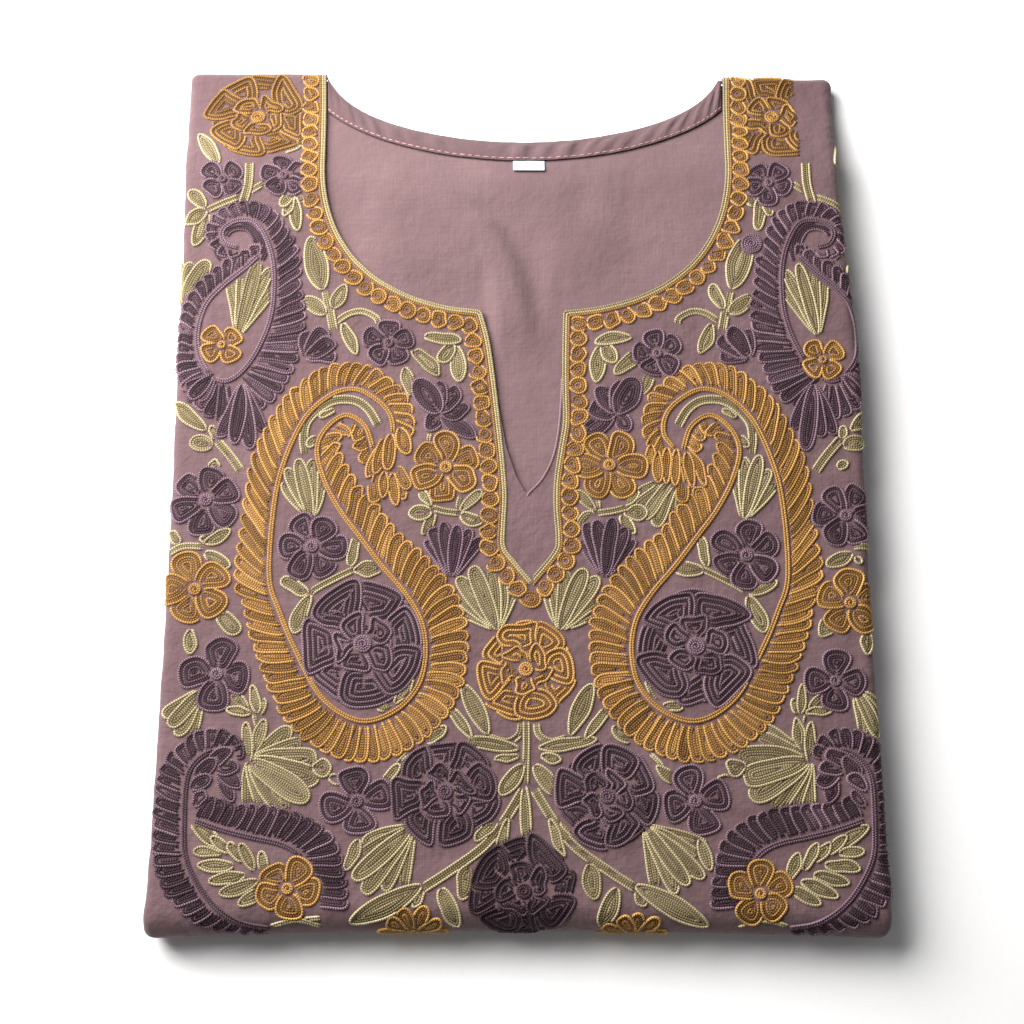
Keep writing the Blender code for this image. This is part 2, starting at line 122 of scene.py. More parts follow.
@dataclass(frozen=True)
class Packet:
    """The folded packet: where a point of the front cloth lies.

    u runs across the cloth and v along it, both in metres as on the flat cloth. The cloth rolls
    round both sides and the shoulders, turns under at the lower edge, runs back on the surface,
    turns up under the shoulders and ends as a tail between the storeys.
    """

    length: float = 0.4016
    height: float = 0.022
    storey: float = 0.0075
    tail_depth: float = 0.0064
    tail_top: float = 0.0142
    lower_fold_y: float = 0.1449
    tail_end_y: float = -0.1830
    depth_blend_y: float = 0.0600
    lower_inset: float = 0.0012
    tail_inset: float = 0.0026
    edge_bow: float = 0.0032
    bow_reach: float = 0.156
    right_shoulder_fall: float = 0.0030
    fall_reach: float = 0.14
    droop_start: float = 0.1360
    droop_end: float = 0.1920
    shoulder_drop: float = 0.0120
    shoulder_depth: float = 0.0100
    roll: float = 0.0045
    side_roll: float = math.radians(180)
    shoulder_roll: float = math.radians(118)
    front_wall: float = 0.0016
    gap: float = 0.0003
    sag_depth: float = 0.0014
    sag_centre: tuple[float, float] = (0.0040, 0.1180)
    sag_reach: tuple[float, float] = (0.0860, 0.0500)
    outline: tuple[OutlineRow, ...] = (
        OutlineRow(0.2008, 0.1552, 0.1494),
        OutlineRow(0.1930, 0.1550, 0.1498),
        OutlineRow(0.1750, 0.1544, 0.1492),
        OutlineRow(0.1500, 0.1533, 0.1482),
        OutlineRow(0.1210, 0.1524, 0.1486),
        OutlineRow(0.1000, 0.1522, 0.1503),
        OutlineRow(0.0500, 0.1522, 0.1535),
        OutlineRow(0.0000, 0.1519, 0.1534),
        OutlineRow(-0.0600, 0.1519, 0.1532),
        OutlineRow(-0.1100, 0.1528, 0.1536),
        OutlineRow(-0.1600, 0.1534, 0.1547),
        OutlineRow(-0.1850, 0.1544, 0.1555),
        OutlineRow(-0.2008, 0.1560, 0.1560),
    )
    flat_guess: float = 0.1500
    quarter_turn: float = 1.57
    probe: float = 0.0004
    pucker: float = 0.00030
    puckers: int = 22
    pucker_wave: tuple[float, float] = (0.011, 0.034)
    pucker_softness: float = 3.2
    seed: int = 7
    # The back seen through the neck
    ripple_shift: float = 0.5
    ripple_share: float = 0.6
    swell: float = 0.0036
    open_centre: float = 0.004
    open_reach: float = 0.086
    open_low: float = 0.076
    open_high: float = 0.160
    open_fade: float = 0.030
    slit_centre: float = 0.0027
    slit_reach: float = 0.017
    slit_drop: float = 0.030
    slit_fade: float = 0.006
    valley_path: tuple[ValleyRow, ...] = (
        ValleyRow(0.060, 0.0100, 0.7),
        ValleyRow(0.083, 0.0050, 1.0),
        ValleyRow(0.100, 0.0008, 1.0),
        ValleyRow(0.110, -0.0045, 0.95),
        ValleyRow(0.120, -0.0105, 0.65),
        ValleyRow(0.129, -0.0210, 0.35),
        ValleyRow(0.150, -0.0480, 0.1),
    )
    steep_side: tuple[float, float] = (0.0060, 0.0100)
    soft_side: tuple[float, float] = (0.005, 0.019)
    soft_height: float = 0.9
    right_fall: float = 0.95
    right_fall_span: tuple[float, float] = (0.030, 0.026)
    dimple: float = 0.5
    dimple_place: tuple[float, float] = (0.031, 0.131)
    dimple_reach: tuple[float, float] = (0.008, 0.009)

    @property
    def turn_radius(self) -> float:
        """Radius of the big turn at the lower edge."""
        return self.height / 2

    @property
    def small_radius(self) -> float:
        """Radius of the small turn under the shoulders."""
        return self.tail_top / 2

    @property
    def side_arc(self) -> float:
        """Length of side roll for each radian."""
        return (self.roll + self.storey / 2) / 2

    @property
    def shoulder_arc(self) -> float:
        """Length of shoulder roll for each radian."""
        return (self.roll + self.shoulder_depth / 2) / 2

    def half_width(self, y: np.ndarray, right: np.ndarray) -> np.ndarray:
        """Distance from the middle to the packet's edge.

        Args:
            y: Heights on the packet.
            right: True where the right edge is meant.

        Returns:
            The distances in metres.
        """
        rows = self.outline[::-1]
        heights = [row.y for row in rows]
        left_edge = np.interp(y, heights, [row.left for row in rows])
        right_edge = np.interp(y, heights, [row.right for row in rows])
        return np.where(right, right_edge, left_edge)

    def shoulder_part(self, y: np.ndarray) -> np.ndarray:
        """How far the upper storey has sunk towards the shoulders, 0 to 1."""
        return smooth_step((y - self.droop_start) / (self.droop_end - self.droop_start))

    def upper_height(self, y: np.ndarray) -> np.ndarray:
        """Height of the outer face of the upper storey."""
        return self.height - self.shoulder_drop * self.shoulder_part(y)

    def upper_depth(self, y: np.ndarray) -> np.ndarray:
        """Depth of the upper storey."""
        return self.storey + (self.shoulder_depth - self.storey) * self.shoulder_part(y)

    def shoulder_y(self, x: np.ndarray) -> np.ndarray:
        """Height of the shoulder edge, a little short on the right."""
        return self.length / 2 - self.right_shoulder_fall * smooth_step(x / self.fall_reach)

    def turn_y(self, x: np.ndarray) -> np.ndarray:
        """Centre line of the big turn, drawn in a little in the middle."""
        return -self.length / 2 + self.turn_radius + self.edge_bow * (1 - (x / self.bow_reach) ** 2)

    def sag(self, x: np.ndarray, y: np.ndarray) -> np.ndarray:
        """How far the back sinks where no front lies over it."""
        across = (x - self.sag_centre[0]) / self.sag_reach[0]
        along = (y - self.sag_centre[1]) / self.sag_reach[1]
        return self.sag_depth * np.maximum(0.0, 1 - across**2 - along**2)

    def relief(self, u: np.ndarray, v: np.ndarray) -> np.ndarray:
        """Depth of the puckers that the stitching draws in the cloth.

        Args:
            u: Places across the cloth.
            v: Places along the cloth.

        Returns:
            Depths in metres, from 0 to the pucker depth.
        """
        rng = np.random.default_rng(self.seed)
        total = np.zeros(np.shape(u))
        for _ in range(self.puckers):
            wave = rng.uniform(*self.pucker_wave)
            heading = rng.uniform(0, math.pi)
            start = rng.uniform(0, 2 * math.pi)
            along = (u * math.cos(heading) + v * math.sin(heading)) * 2 * math.pi / wave
            total += np.sin(along + start)
        return self.pucker * smooth_step(0.5 + total / (self.pucker_softness * math.sqrt(self.puckers / 2)))

    def folds(self, x: np.ndarray, v: np.ndarray, right: np.ndarray) -> Folds:
        """How far round each fold the cloth has come.

        Args:
            x: Places across the packet.
            v: Places along the cloth.
            right: True on the right half.

        Returns:
            The folds passed and the reach of the flat cloth there.
        """
        start = self.shoulder_y(x) - self.roll
        turn = self.turn_y(x)
        past_turn = np.clip((turn - v) / self.turn_radius, 0.0, math.pi)
        lower = np.maximum(turn - v - math.pi * self.turn_radius, 0.0)
        small_y = self.lower_fold_y - self.small_radius
        run = small_y - turn
        past_small = np.clip((lower - run) / self.small_radius, 0.0, math.pi)
        tail = np.maximum(lower - run - math.pi * self.small_radius, 0.0)
        lower = np.minimum(lower, run)

        y_flat = np.minimum(np.maximum(v, turn), start)
        dip = self.turn_radius * np.sin(np.minimum(past_turn, self.quarter_turn))
        y_edge = np.where(past_turn > 0, turn - dip, y_flat)
        y_edge = np.where(lower > 0, turn + lower, y_edge)
        y_edge = np.where(tail > 0, small_y - tail, y_edge)
        inset = self.lower_inset * past_turn / math.pi
        inset = inset + (self.tail_inset - self.lower_inset) * past_small / math.pi
        edge = self.half_width(y_edge, right) - self.roll - inset
        return Folds(start, turn, past_turn, lower, small_y, past_small, tail, y_flat, edge)

    def base(self, u: np.ndarray, v: np.ndarray) -> np.ndarray:
        """Places of the smooth outer face.

        Args:
            u: Places across the cloth.
            v: Places along the cloth, from the shoulder roll to the end of the tail.

        Returns:
            Points, one row each.
        """
        u, v = np.broadcast_arrays(np.asarray(u, float), np.asarray(v, float))
        right = u > 0
        toward = np.where(right, 1.0, -1.0)
        fold = self.folds(toward * np.minimum(np.abs(u), self.flat_guess), v, right)
        start, turn, past_turn, lower, small_y, past_small, tail, y_flat, edge = fold
        flat_reach = np.minimum(np.abs(u), edge)
        across = np.clip((np.abs(u) - edge) / self.side_arc, 0.0, self.side_roll)
        up = np.clip((v - start) / self.shoulder_arc, 0.0, self.shoulder_roll)

        size = np.hypot(across, up)
        safe = np.where(size < TINY, 1.0, size)
        cosine, sine = across / safe, up / safe
        side_limit = np.where(cosine > TINY, self.side_roll / np.maximum(cosine, TINY), np.inf)
        end_limit = np.where(sine > TINY, self.shoulder_roll / np.maximum(sine, TINY), np.inf)
        limit = self.side_roll * cosine**2 + self.shoulder_roll * sine**2
        angle = np.where(size < TINY, 0.0, size * limit / np.minimum(side_limit, end_limit))
        sideways = self.roll * np.sin(angle) * cosine
        forward = self.roll * np.sin(angle) * sine
        depth = np.where(size < TINY, 0.0, (1 - np.cos(angle)) / 2)

        x = toward * (flat_reach + sideways)
        y = y_flat + forward
        z = self.upper_height(y_flat) - depth * self.upper_depth(y_flat)

        radius = self.turn_radius - depth * self.storey
        on_turn = (past_turn > 0) & (lower <= 0)
        y = np.where(on_turn, turn - radius * np.sin(past_turn), y)
        z = np.where(on_turn, self.turn_radius + radius * np.cos(past_turn), z)
        on_lower = (lower > 0) & (past_small <= 0)
        y_low = turn + lower
        blend = smooth_step((y_low - self.depth_blend_y) / (small_y - self.depth_blend_y))
        y = np.where(on_lower, y_low, y)
        z = np.where(on_lower, depth * (self.storey + (self.tail_depth - self.storey) * blend), z)
        small = self.small_radius - depth * self.tail_depth
        on_small = (past_small > 0) & (tail <= 0)
        y = np.where(on_small, small_y + small * np.sin(past_small), y)
        z = np.where(on_small, self.small_radius - small * np.cos(past_small), z)
        on_tail = tail > 0
        y = np.where(on_tail, small_y - tail, y)
        z = np.where(on_tail, self.tail_top - depth * self.tail_depth, z)
        return np.stack([x, y, z], axis=-1)

    def frames(self, u: np.ndarray, v: np.ndarray) -> tuple[np.ndarray, ...]:
        """Places on the puckered outer face, with the directions of the cloth there.

        Args:
            u: Places across the cloth.
            v: Places along the cloth.

        Returns:
            The points, the unit directions across and along, and the outward normals.
        """
        point = self.base(u, v)
        across = self.base(u + self.probe, v) - self.base(u - self.probe, v)
        along = self.base(u, v + self.probe) - self.base(u, v - self.probe)
        across /= np.maximum(np.linalg.norm(across, axis=-1, keepdims=True), 1e-12)
        along /= np.maximum(np.linalg.norm(along, axis=-1, keepdims=True), 1e-12)
        normal = np.cross(across, along)
        normal /= np.maximum(np.linalg.norm(normal, axis=-1, keepdims=True), 1e-12)
        # The puckers fade out round the lower turn
        upper = smooth_step((v - self.turn_y(u) + 2.0 * self.turn_radius) / (1.2 * self.turn_radius))
        depth = self.relief(u, v) * upper
        return point - normal * depth[..., None], across, along, normal

    def back_top(self, x: np.ndarray, y: np.ndarray) -> np.ndarray:
        """Height of the upper face of the back cloth."""
        ripple = self.relief(x + self.ripple_shift, y) * self.ripple_share
        fold = self.swell * self.open_above(x, y) * self.valley(x, y)
        return self.upper_height(y) - self.front_wall - self.gap - self.sag(x, y) - ripple + fold

    def open_above(self, x: np.ndarray, y: np.ndarray) -> np.ndarray:
        """Where no front lies over the back, fading to nothing towards the neck edges."""
        over_slit = smooth_step((self.slit_reach - np.abs(x - self.slit_centre)) / self.slit_fade)
        low = self.open_low - self.slit_drop * over_slit
        across = smooth_step((self.open_reach - np.abs(x - self.open_centre)) / self.open_fade)
        seen = across * smooth_step((y - low) / self.open_fade)
        return seen * smooth_step((self.open_high - y) / self.open_fade)

    def valley(self, x: np.ndarray, y: np.ndarray) -> np.ndarray:
        """Relief of the back: a steep fall into a slanting valley, a soft rise and a long fall.

        Args:
            x: Places across the packet.
            y: Places along it.

        Returns:
            Shares of the swell, about 1 beside the valley and 0 in it.
        """
        rows = self.valley_path
        heights = [row.y for row in rows]
        past = x - np.interp(y, heights, [row.x for row in rows])
        depth = np.interp(y, heights, [row.depth for row in rows])
        steep = smooth_step((past + self.steep_side[0]) / self.steep_side[1])
        soft = smooth_step((past - self.soft_side[0]) / self.soft_side[1])
        shape = 1 - steep + self.soft_height * soft
        across = (x - self.dimple_place[0]) / self.dimple_reach[0]
        along = (y - self.dimple_place[1]) / self.dimple_reach[1]
        dimple = self.dimple * np.exp(-(across**2) - along**2)
        fall = self.right_fall * smooth_step((x - self.right_fall_span[0]) / self.right_fall_span[1])
        return (1 - depth * (1 - shape)) * (1 - fall) - dimple


@dataclass(frozen=True)
class Neck:
    """The necklines of the front and the back, in metres."""

    centre_x: float = 0.0040
    half_width: float = 0.0922
    centre_y: float = 0.1530
    depth: float = 0.0790
    squareness: float = 2.5
    flare: float = 0.037
    slit: tuple[SlitRow, ...] = (
        SlitRow(0.0330, -0.0086, 0.0195),
        SlitRow(0.0100, -0.0045, 0.0168),
        SlitRow(-0.0030, -0.0003, 0.0116),
        SlitRow(-0.0102, 0.0036, 0.0054),
    )
    slit_left: float = -0.0156
    slit_right: float = 0.0209
    back_centre: tuple[float, float] = (0.0035, 0.2064)
    back_half_width: float = 0.0945
    back_depth: float = 0.0460
    last_y: float = 0.1986
    side_points: int = 9
    scoop_points: int = 40

    def scoop_y(self, x: np.ndarray) -> np.ndarray:
        """Height of the front neck edge below its widest place."""
        share = np.minimum(np.abs(x - self.centre_x) / self.half_width, 1.0)
        return self.centre_y - self.depth * (1 - share**self.squareness) ** (1 / self.squareness)

    def side(self, right: bool, top: float) -> np.ndarray:
        """One edge of the front neck from above down to the tip of the slit.

        Args:
            right: Whether it is the right edge.
            top: Height that it starts from.

        Returns:
            Points in metres, from the top to the slit's tip.
        """
        toward = 1.0 if right else -1.0
        edge = self.centre_x + toward * self.half_width
        inner = self.slit_right if right else self.slit_left
        heights = np.linspace(top, self.centre_y, self.side_points)
        points = [(edge + toward * self.flare * (y - self.centre_y), y) for y in heights]
        for angle in np.linspace(0, math.pi / 2, self.scoop_points)[1:]:
            x = edge + (inner - edge) * (1 - math.cos(angle))
            points.append((x, float(self.scoop_y(np.array(x)))))
        for row in self.slit:
            points.append((row.right if right else row.left, row.y))
        return np.array(points)

    def back_point(self, place: np.ndarray, wider: np.ndarray) -> np.ndarray:
        """Points of the back neckline moved out by a distance, place 0 left to 1 right."""
        angle = np.pi * (1 + place)
        x = self.back_centre[0] + (self.back_half_width + wider) * np.cos(angle)
        y = self.back_centre[1] + (self.back_depth + wider) * np.sin(angle)
        return np.stack([x, y], axis=-1)


PACKET = Packet()
NECK = Neck()


def add_node(
    tree: bpy.types.NodeTree, kind: str, settings: dict | None = None, **links: object
) -> bpy.types.Node:
    """Adds a node to a material.

    Args:
        tree: Node tree of the material.
        kind: Type name of the node.
        settings: Values for the node's own fields.
        links: Input names, with _ for a space, or in0 to in9 for an input's place; a value is set
            and an output socket is linked.

    Returns:
        The new node.
    """
    node = tree.nodes.new(kind)
    for name, value in (settings or {}).items():
        setattr(node, name, value)
    for name, value in links.items():
        place = int(name[2:]) if name.startswith("in") and name[2:].isdigit() else name.replace("_", " ")
        socket = node.inputs[place]
        if isinstance(value, bpy.types.NodeSocket):
            tree.links.new(value, socket)
        else:
            socket.default_value = value
    return node


def new_material(name: str) -> tuple[bpy.types.Material, bpy.types.NodeTree, bpy.types.Node]:
    """A material with nodes, its tree and its Principled shader."""
    material = bpy.data.materials.new(name)
    material.use_nodes = True
    tree = material.node_tree
    return material, tree, tree.nodes["Principled BSDF"]


@dataclass(frozen=True)
class CottonCloth:
    """Handloom cotton in plain weave: matt, with slubs and faint uneven dye."""

    name: str
    warp: str
    weft: str
    thread: float = 0.62
    bump: float = 0.30
    pucker: float = 0.0

    def make(self) -> bpy.types.Material:
        """Builds the material.

        Returns:
            The material, which reads the cloth map in metres.
        """
        material, tree, shader = new_material(self.name)
        place = add_node(tree, "ShaderNodeUVMap", {"uv_map": "cloth"}).outputs["UV"]
        scale = {"operation": "SCALE"}
        scaled = add_node(tree, "ShaderNodeVectorMath", scale, in0=place, Scale=1 / MM).outputs[0]
        values: dict[object, bpy.types.NodeSocket] = {}
        # Threads are really about 0.3 mm apart, drawn coarser so that the weave shows at arm's length
        for direction in ("X", "Y"):
            wave = add_node(
                tree,
                "ShaderNodeTexWave",
                {"bands_direction": direction},
                Vector=scaled,
                Scale=math.pi / (10 * self.thread),
                Distortion=0.9,
                Detail=2.0,
                Detail_Scale=0.6,
            )
            values[f"threads {direction}"] = wave.outputs["Fac"]
        # Noises by their turns for each millimetre across and along, and their detail
        noises = [
            ("slub across", 0.05, 1.5, 3.0),
            ("slub along", 1.5, 0.05, 3.0),
            ("grain", 1.6, 1.6, 2.0),
            ("uneven dye", 0.02, 0.02, 3.0),
        ]
        if self.pucker:
            noises.append(("soft folds", 0.15, 0.15, 2.0))
        for name, across, along, detail in noises:
            moved = add_node(tree, "ShaderNodeMapping", Vector=scaled, Scale=(across, along, 1.0))
            noise = add_node(
                tree, "ShaderNodeTexNoise", Vector=moved.outputs[0], Scale=1.0, Detail=detail, Roughness=0.6
            )
            values[name] = noise.outputs["Fac"]
        # Each row: the value that it gives, the step, and the two sides
        for name, step, one, two in (
            ("weave", "MULTIPLY", "threads X", "threads Y"),
            ("slubs", "ADD", "slub across", "slub along"),
            ("slubs", "MULTIPLY", "slubs", 0.5),
            ("slub tone", "MULTIPLY", "slubs", 0.55),
            ("weave tone", "MULTIPLY", "weave", 0.22),
            ("tone", "ADD", "slub tone", "weave tone"),
            ("dye tone", "SUBTRACT", "uneven dye", 0.5),
            ("dye tone", "MULTIPLY", "dye tone", 0.5),
            ("tone", "ADD", "tone", "dye tone"),
            ("grain tone", "SUBTRACT", "grain", 0.5),
            ("grain tone", "MULTIPLY", "grain tone", 0.35),
            ("tone", "ADD", "tone", "grain tone"),
            ("weave height", "MULTIPLY", "weave", 0.5),
            ("slub height", "MULTIPLY", "slubs", 0.9),
            ("height", "ADD", "weave height", "slub height"),
            ("grain height", "MULTIPLY", "grain", 0.5),
            ("height", "ADD", "height", "grain height"),
        ):
            sides = {"in0": values.get(one, one), "in1": values.get(two, two)}
            values[name] = add_node(tree, "ShaderNodeMath", {"operation": step}, **sides).outputs[0]
        ramp = add_node(tree, "ShaderNodeValToRGB", Fac=values["tone"])
        ramp.color_ramp.elements[0].position = 0.28
        ramp.color_ramp.elements[0].color = linear(self.weft)
        ramp.color_ramp.elements[1].position = 0.82
        ramp.color_ramp.elements[1].color = linear(self.warp)
        bump = {"Height": values["height"], "Strength": self.bump, "Distance": 0.00022}
        normal = add_node(tree, "ShaderNodeBump", **bump).outputs["Normal"]
        if self.pucker:
            bump = {"Height": values["soft folds"], "Strength": self.pucker, "Distance": 0.0022}
            normal = add_node(tree, "ShaderNodeBump", Normal=normal, **bump).outputs["Normal"]
        tree.links.new(ramp.outputs["Color"], shader.inputs["Base Color"])
        tree.links.new(normal, shader.inputs["Normal"])
        shader.inputs["Roughness"].default_value = 0.92
        shader.inputs["Specular IOR Level"].default_value = 0.25
        shader.inputs["Sheen Weight"].default_value = 0.18
        shader.inputs["Sheen Roughness"].default_value = 0.5
        return material


@dataclass(frozen=True)
class ChainThread:
    """Rayon or cotton thread in chain stitch: a soft gloss, each stitch with a dark eye that is painted
    shade in the hollow of its loop.
    """

    name: str
    light: str
    middle: str
    dark: str
    roughness: float = 0.55

    def make(self) -> bpy.types.Material:
        """Builds the material.

        Returns:
            The material, which reads the stitch map (stitches along, share across) and the tint.
        """
        material, tree, shader = new_material(self.name)
        place = add_node(tree, "ShaderNodeUVMap", {"uv_map": "stitch"}).outputs["UV"]
        split = add_node(tree, "ShaderNodeSeparateXYZ", Vector=place).outputs
        tint = add_node(tree, "ShaderNodeAttribute", {"attribute_name": "tint"}).outputs["Fac"]
        fibre_place = add_node(tree, "ShaderNodeMapping", Vector=place, Scale=(2.5, 2.2, 1.0)).outputs[0]
        fibre = add_node(tree, "ShaderNodeTexNoise", Vector=fibre_place, Scale=2.4, Detail=3.0)
        values: dict[object, bpy.types.NodeSocket] = {
            "stitches": split[0],
            "share": split[1],
            "tint": tint,
            "fibre": fibre.outputs["Fac"],
        }
        # Each row: the value that it gives, the step, and the two sides. The eye is an oval in each stitch,
        # darkened towards its middle as painted shade in the loop's hollow, and sunk there in the bump
        for name, step, one, two in (
            ("along", "FRACT", "stitches", 0.0),
            ("along", "SUBTRACT", "along", 0.5),
            ("across", "SUBTRACT", "share", 0.5),
            ("along", "MULTIPLY", "along", 2.3),
            ("along", "POWER", "along", 2.0),
            ("across", "MULTIPLY", "across", 2.9),
            ("across", "POWER", "across", 2.0),
            ("far", "ADD", "along", "across"),
            ("far", "SQRT", "far", 0.0),
            ("eye", "EDGE", "far", 0.0),
            ("eye tone", "MULTIPLY", "eye", 0.46),
            ("tint tone", "MULTIPLY", "tint", 0.62),
            ("tone", "ADD", "eye tone", "tint tone"),
            ("fibre tone", "SUBTRACT", "fibre", 0.5),
            ("fibre tone", "MULTIPLY", "fibre tone", 0.36),
            ("tone", "ADD", "tone", "fibre tone"),
            ("fibre height", "MULTIPLY", "fibre", 0.6),
            ("height", "ADD", "eye", "fibre height"),
        ):
            if step == "EDGE":
                soft = {"interpolation_type": "SMOOTHSTEP"}
                span = {"Value": values[one], "From_Min": 0.25, "From_Max": 0.85}
                values[name] = add_node(tree, "ShaderNodeMapRange", soft, **span).outputs[0]
                continue
            sides = {"in0": values.get(one, one), "in1": values.get(two, two)}
            values[name] = add_node(tree, "ShaderNodeMath", {"operation": step}, **sides).outputs[0]
        ramp = add_node(tree, "ShaderNodeValToRGB", Fac=values["tone"])
        stops = ramp.color_ramp.elements
        stops[0].position = 0.24
        stops[0].color = linear(self.dark)
        stops[1].position = 0.92
        stops[1].color = linear(self.light)
        stops.new(0.64).color = linear(self.middle)
        bump = add_node(tree, "ShaderNodeBump", Height=values["height"], Strength=0.75, Distance=0.00030)
        tree.links.new(ramp.outputs["Color"], shader.inputs["Base Color"])
        tree.links.new(bump.outputs["Normal"], shader.inputs["Normal"])
        shader.inputs["Roughness"].default_value = self.roughness
        shader.inputs["Specular IOR Level"].default_value = 0.22
        shader.inputs["Sheen Weight"].default_value = 0.03
        return material


class Thread(Enum):
    """The colours of thread."""

    GOLD = ChainThread("gold_chain_thread", "d0a05a", "8b622b", "1e0f05")
    PURPLE = ChainThread("plum_chain_thread", "947986", "432b36", "090204")
    GREEN = ChainThread("sage_chain_thread", "c6b891", "857652", "2c2013")
    # Light mauve for the raised row on the right slit edge; its lightness is a painted highlight where that
    # edge faces the lamp
    SLIT_HIGHLIGHT = ChainThread("mauve_slit_painted_highlight", "9a7f82", "806769", "5f494b")
    PALE_GREEN = ChainThread("pale_cord_thread", "bdae85", "857550", "392c18")


def give(piece: bpy.types.Object, material: bpy.types.Material) -> None:
    """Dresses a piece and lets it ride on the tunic's body."""
    piece.data.materials.clear()
    piece.data.materials.append(material)
    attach(piece, BODY)


def new_piece(name: str, mesh: bpy.types.Mesh) -> bpy.types.Object:
    """Links a new object at the origin."""
    piece = bpy.data.objects.new(name, mesh)
    bpy.context.scene.collection.objects.link(piece)
    return piece


def bake(piece: bpy.types.Object) -> None:
    """Applies all modifiers of a piece to its mesh."""
    graph = bpy.context.evaluated_depsgraph_get()
    mesh = bpy.data.meshes.new_from_object(piece.evaluated_get(graph))
    mesh.name = piece.name
    piece.modifiers.clear()
    old = piece.data
    piece.data = mesh
    bpy.data.meshes.remove(old)


def shade(mesh: bpy.types.Mesh, sharp: float) -> None:
    """Smooth shading with hard edges over an angle in degrees."""
    mesh.polygons.foreach_set("use_smooth", np.ones(len(mesh.polygons), bool))
    mesh.set_sharp_from_angle(angle=math.radians(sharp))


def woven_sheet(
    name: str,
    across: int,
    along: int,
    place: Callable[[np.ndarray, np.ndarray], tuple[np.ndarray, np.ndarray]],
) -> bpy.types.Object:
    """An open sheet of cloth with its cloth map.

    Args:
        name: Name of the piece.
        across: Faces across.
        along: Faces along.
        place: Gives the points and the cloth coordinates of all (column, row) places.

    Returns:
        The piece, its faces towards the side where columns run right and rows run up.
    """
    bm = bmesh.new()
    bmesh.ops.create_grid(bm, x_segments=across, y_segments=along, size=1.0, calc_uvs=True)
    mesh = bpy.data.meshes.new(name)
    bm.to_mesh(mesh)
    bm.free()
    flat = np.empty(len(mesh.vertices) * 3, np.float32)
    mesh.vertices.foreach_get("co", flat)
    flat = flat.reshape(-1, 3)
    column = np.rint((flat[:, 0] + 1) / 2 * across)
    row = np.rint((flat[:, 1] + 1) / 2 * along)
    points, cloth = place(column, row)
    mesh.vertices.foreach_set("co", points.astype(np.float32).ravel())
    corners = np.empty(len(mesh.loops), np.int32)
    mesh.loops.foreach_get("vertex_index", corners)
    layer = mesh.uv_layers[0] if mesh.uv_layers else mesh.uv_layers.new()
    layer.name = "cloth"
    layer.data.foreach_set("uv", cloth[corners].astype(np.float32).ravel())
    mesh.update()
    return new_piece(name, mesh)


def cutter(name: str, outline: np.ndarray, low: float, high: float) -> bpy.types.Object:
    """A prism that cuts the cloth, standing on an outline between two heights."""
    bm = bmesh.new()
    face = bm.faces.new([bm.verts.new((x, y, low)) for x, y in outline])
    raised = bmesh.ops.extrude_face_region(bm, geom=[face])["geom"]
    top = [item for item in raised if isinstance(item, bmesh.types.BMVert)]
    bmesh.ops.translate(bm, vec=(0, 0, high - low), verts=top)
    bmesh.ops.recalc_face_normals(bm, faces=bm.faces)
    mesh = bpy.data.meshes.new(name)
    bm.to_mesh(mesh)
    bm.free()
    return new_piece(name, mesh)


def thicken_and_cut(piece: bpy.types.Object, wall: float, cutters: Iterable[bpy.types.Object]) -> None:
    """Gives a sheet its wall, cuts it and applies both."""
    solid = piece.modifiers.new("wall", "SOLIDIFY")
    solid.thickness = wall
    solid.offset = -1
    for tool in cutters:
        cut = piece.modifiers.new("cut", "BOOLEAN")
        cut.operation = "DIFFERENCE"
        cut.solver = "EXACT"
        cut.object = tool
    bake(piece)
    for tool in cutters:
        bpy.data.objects.remove(tool)


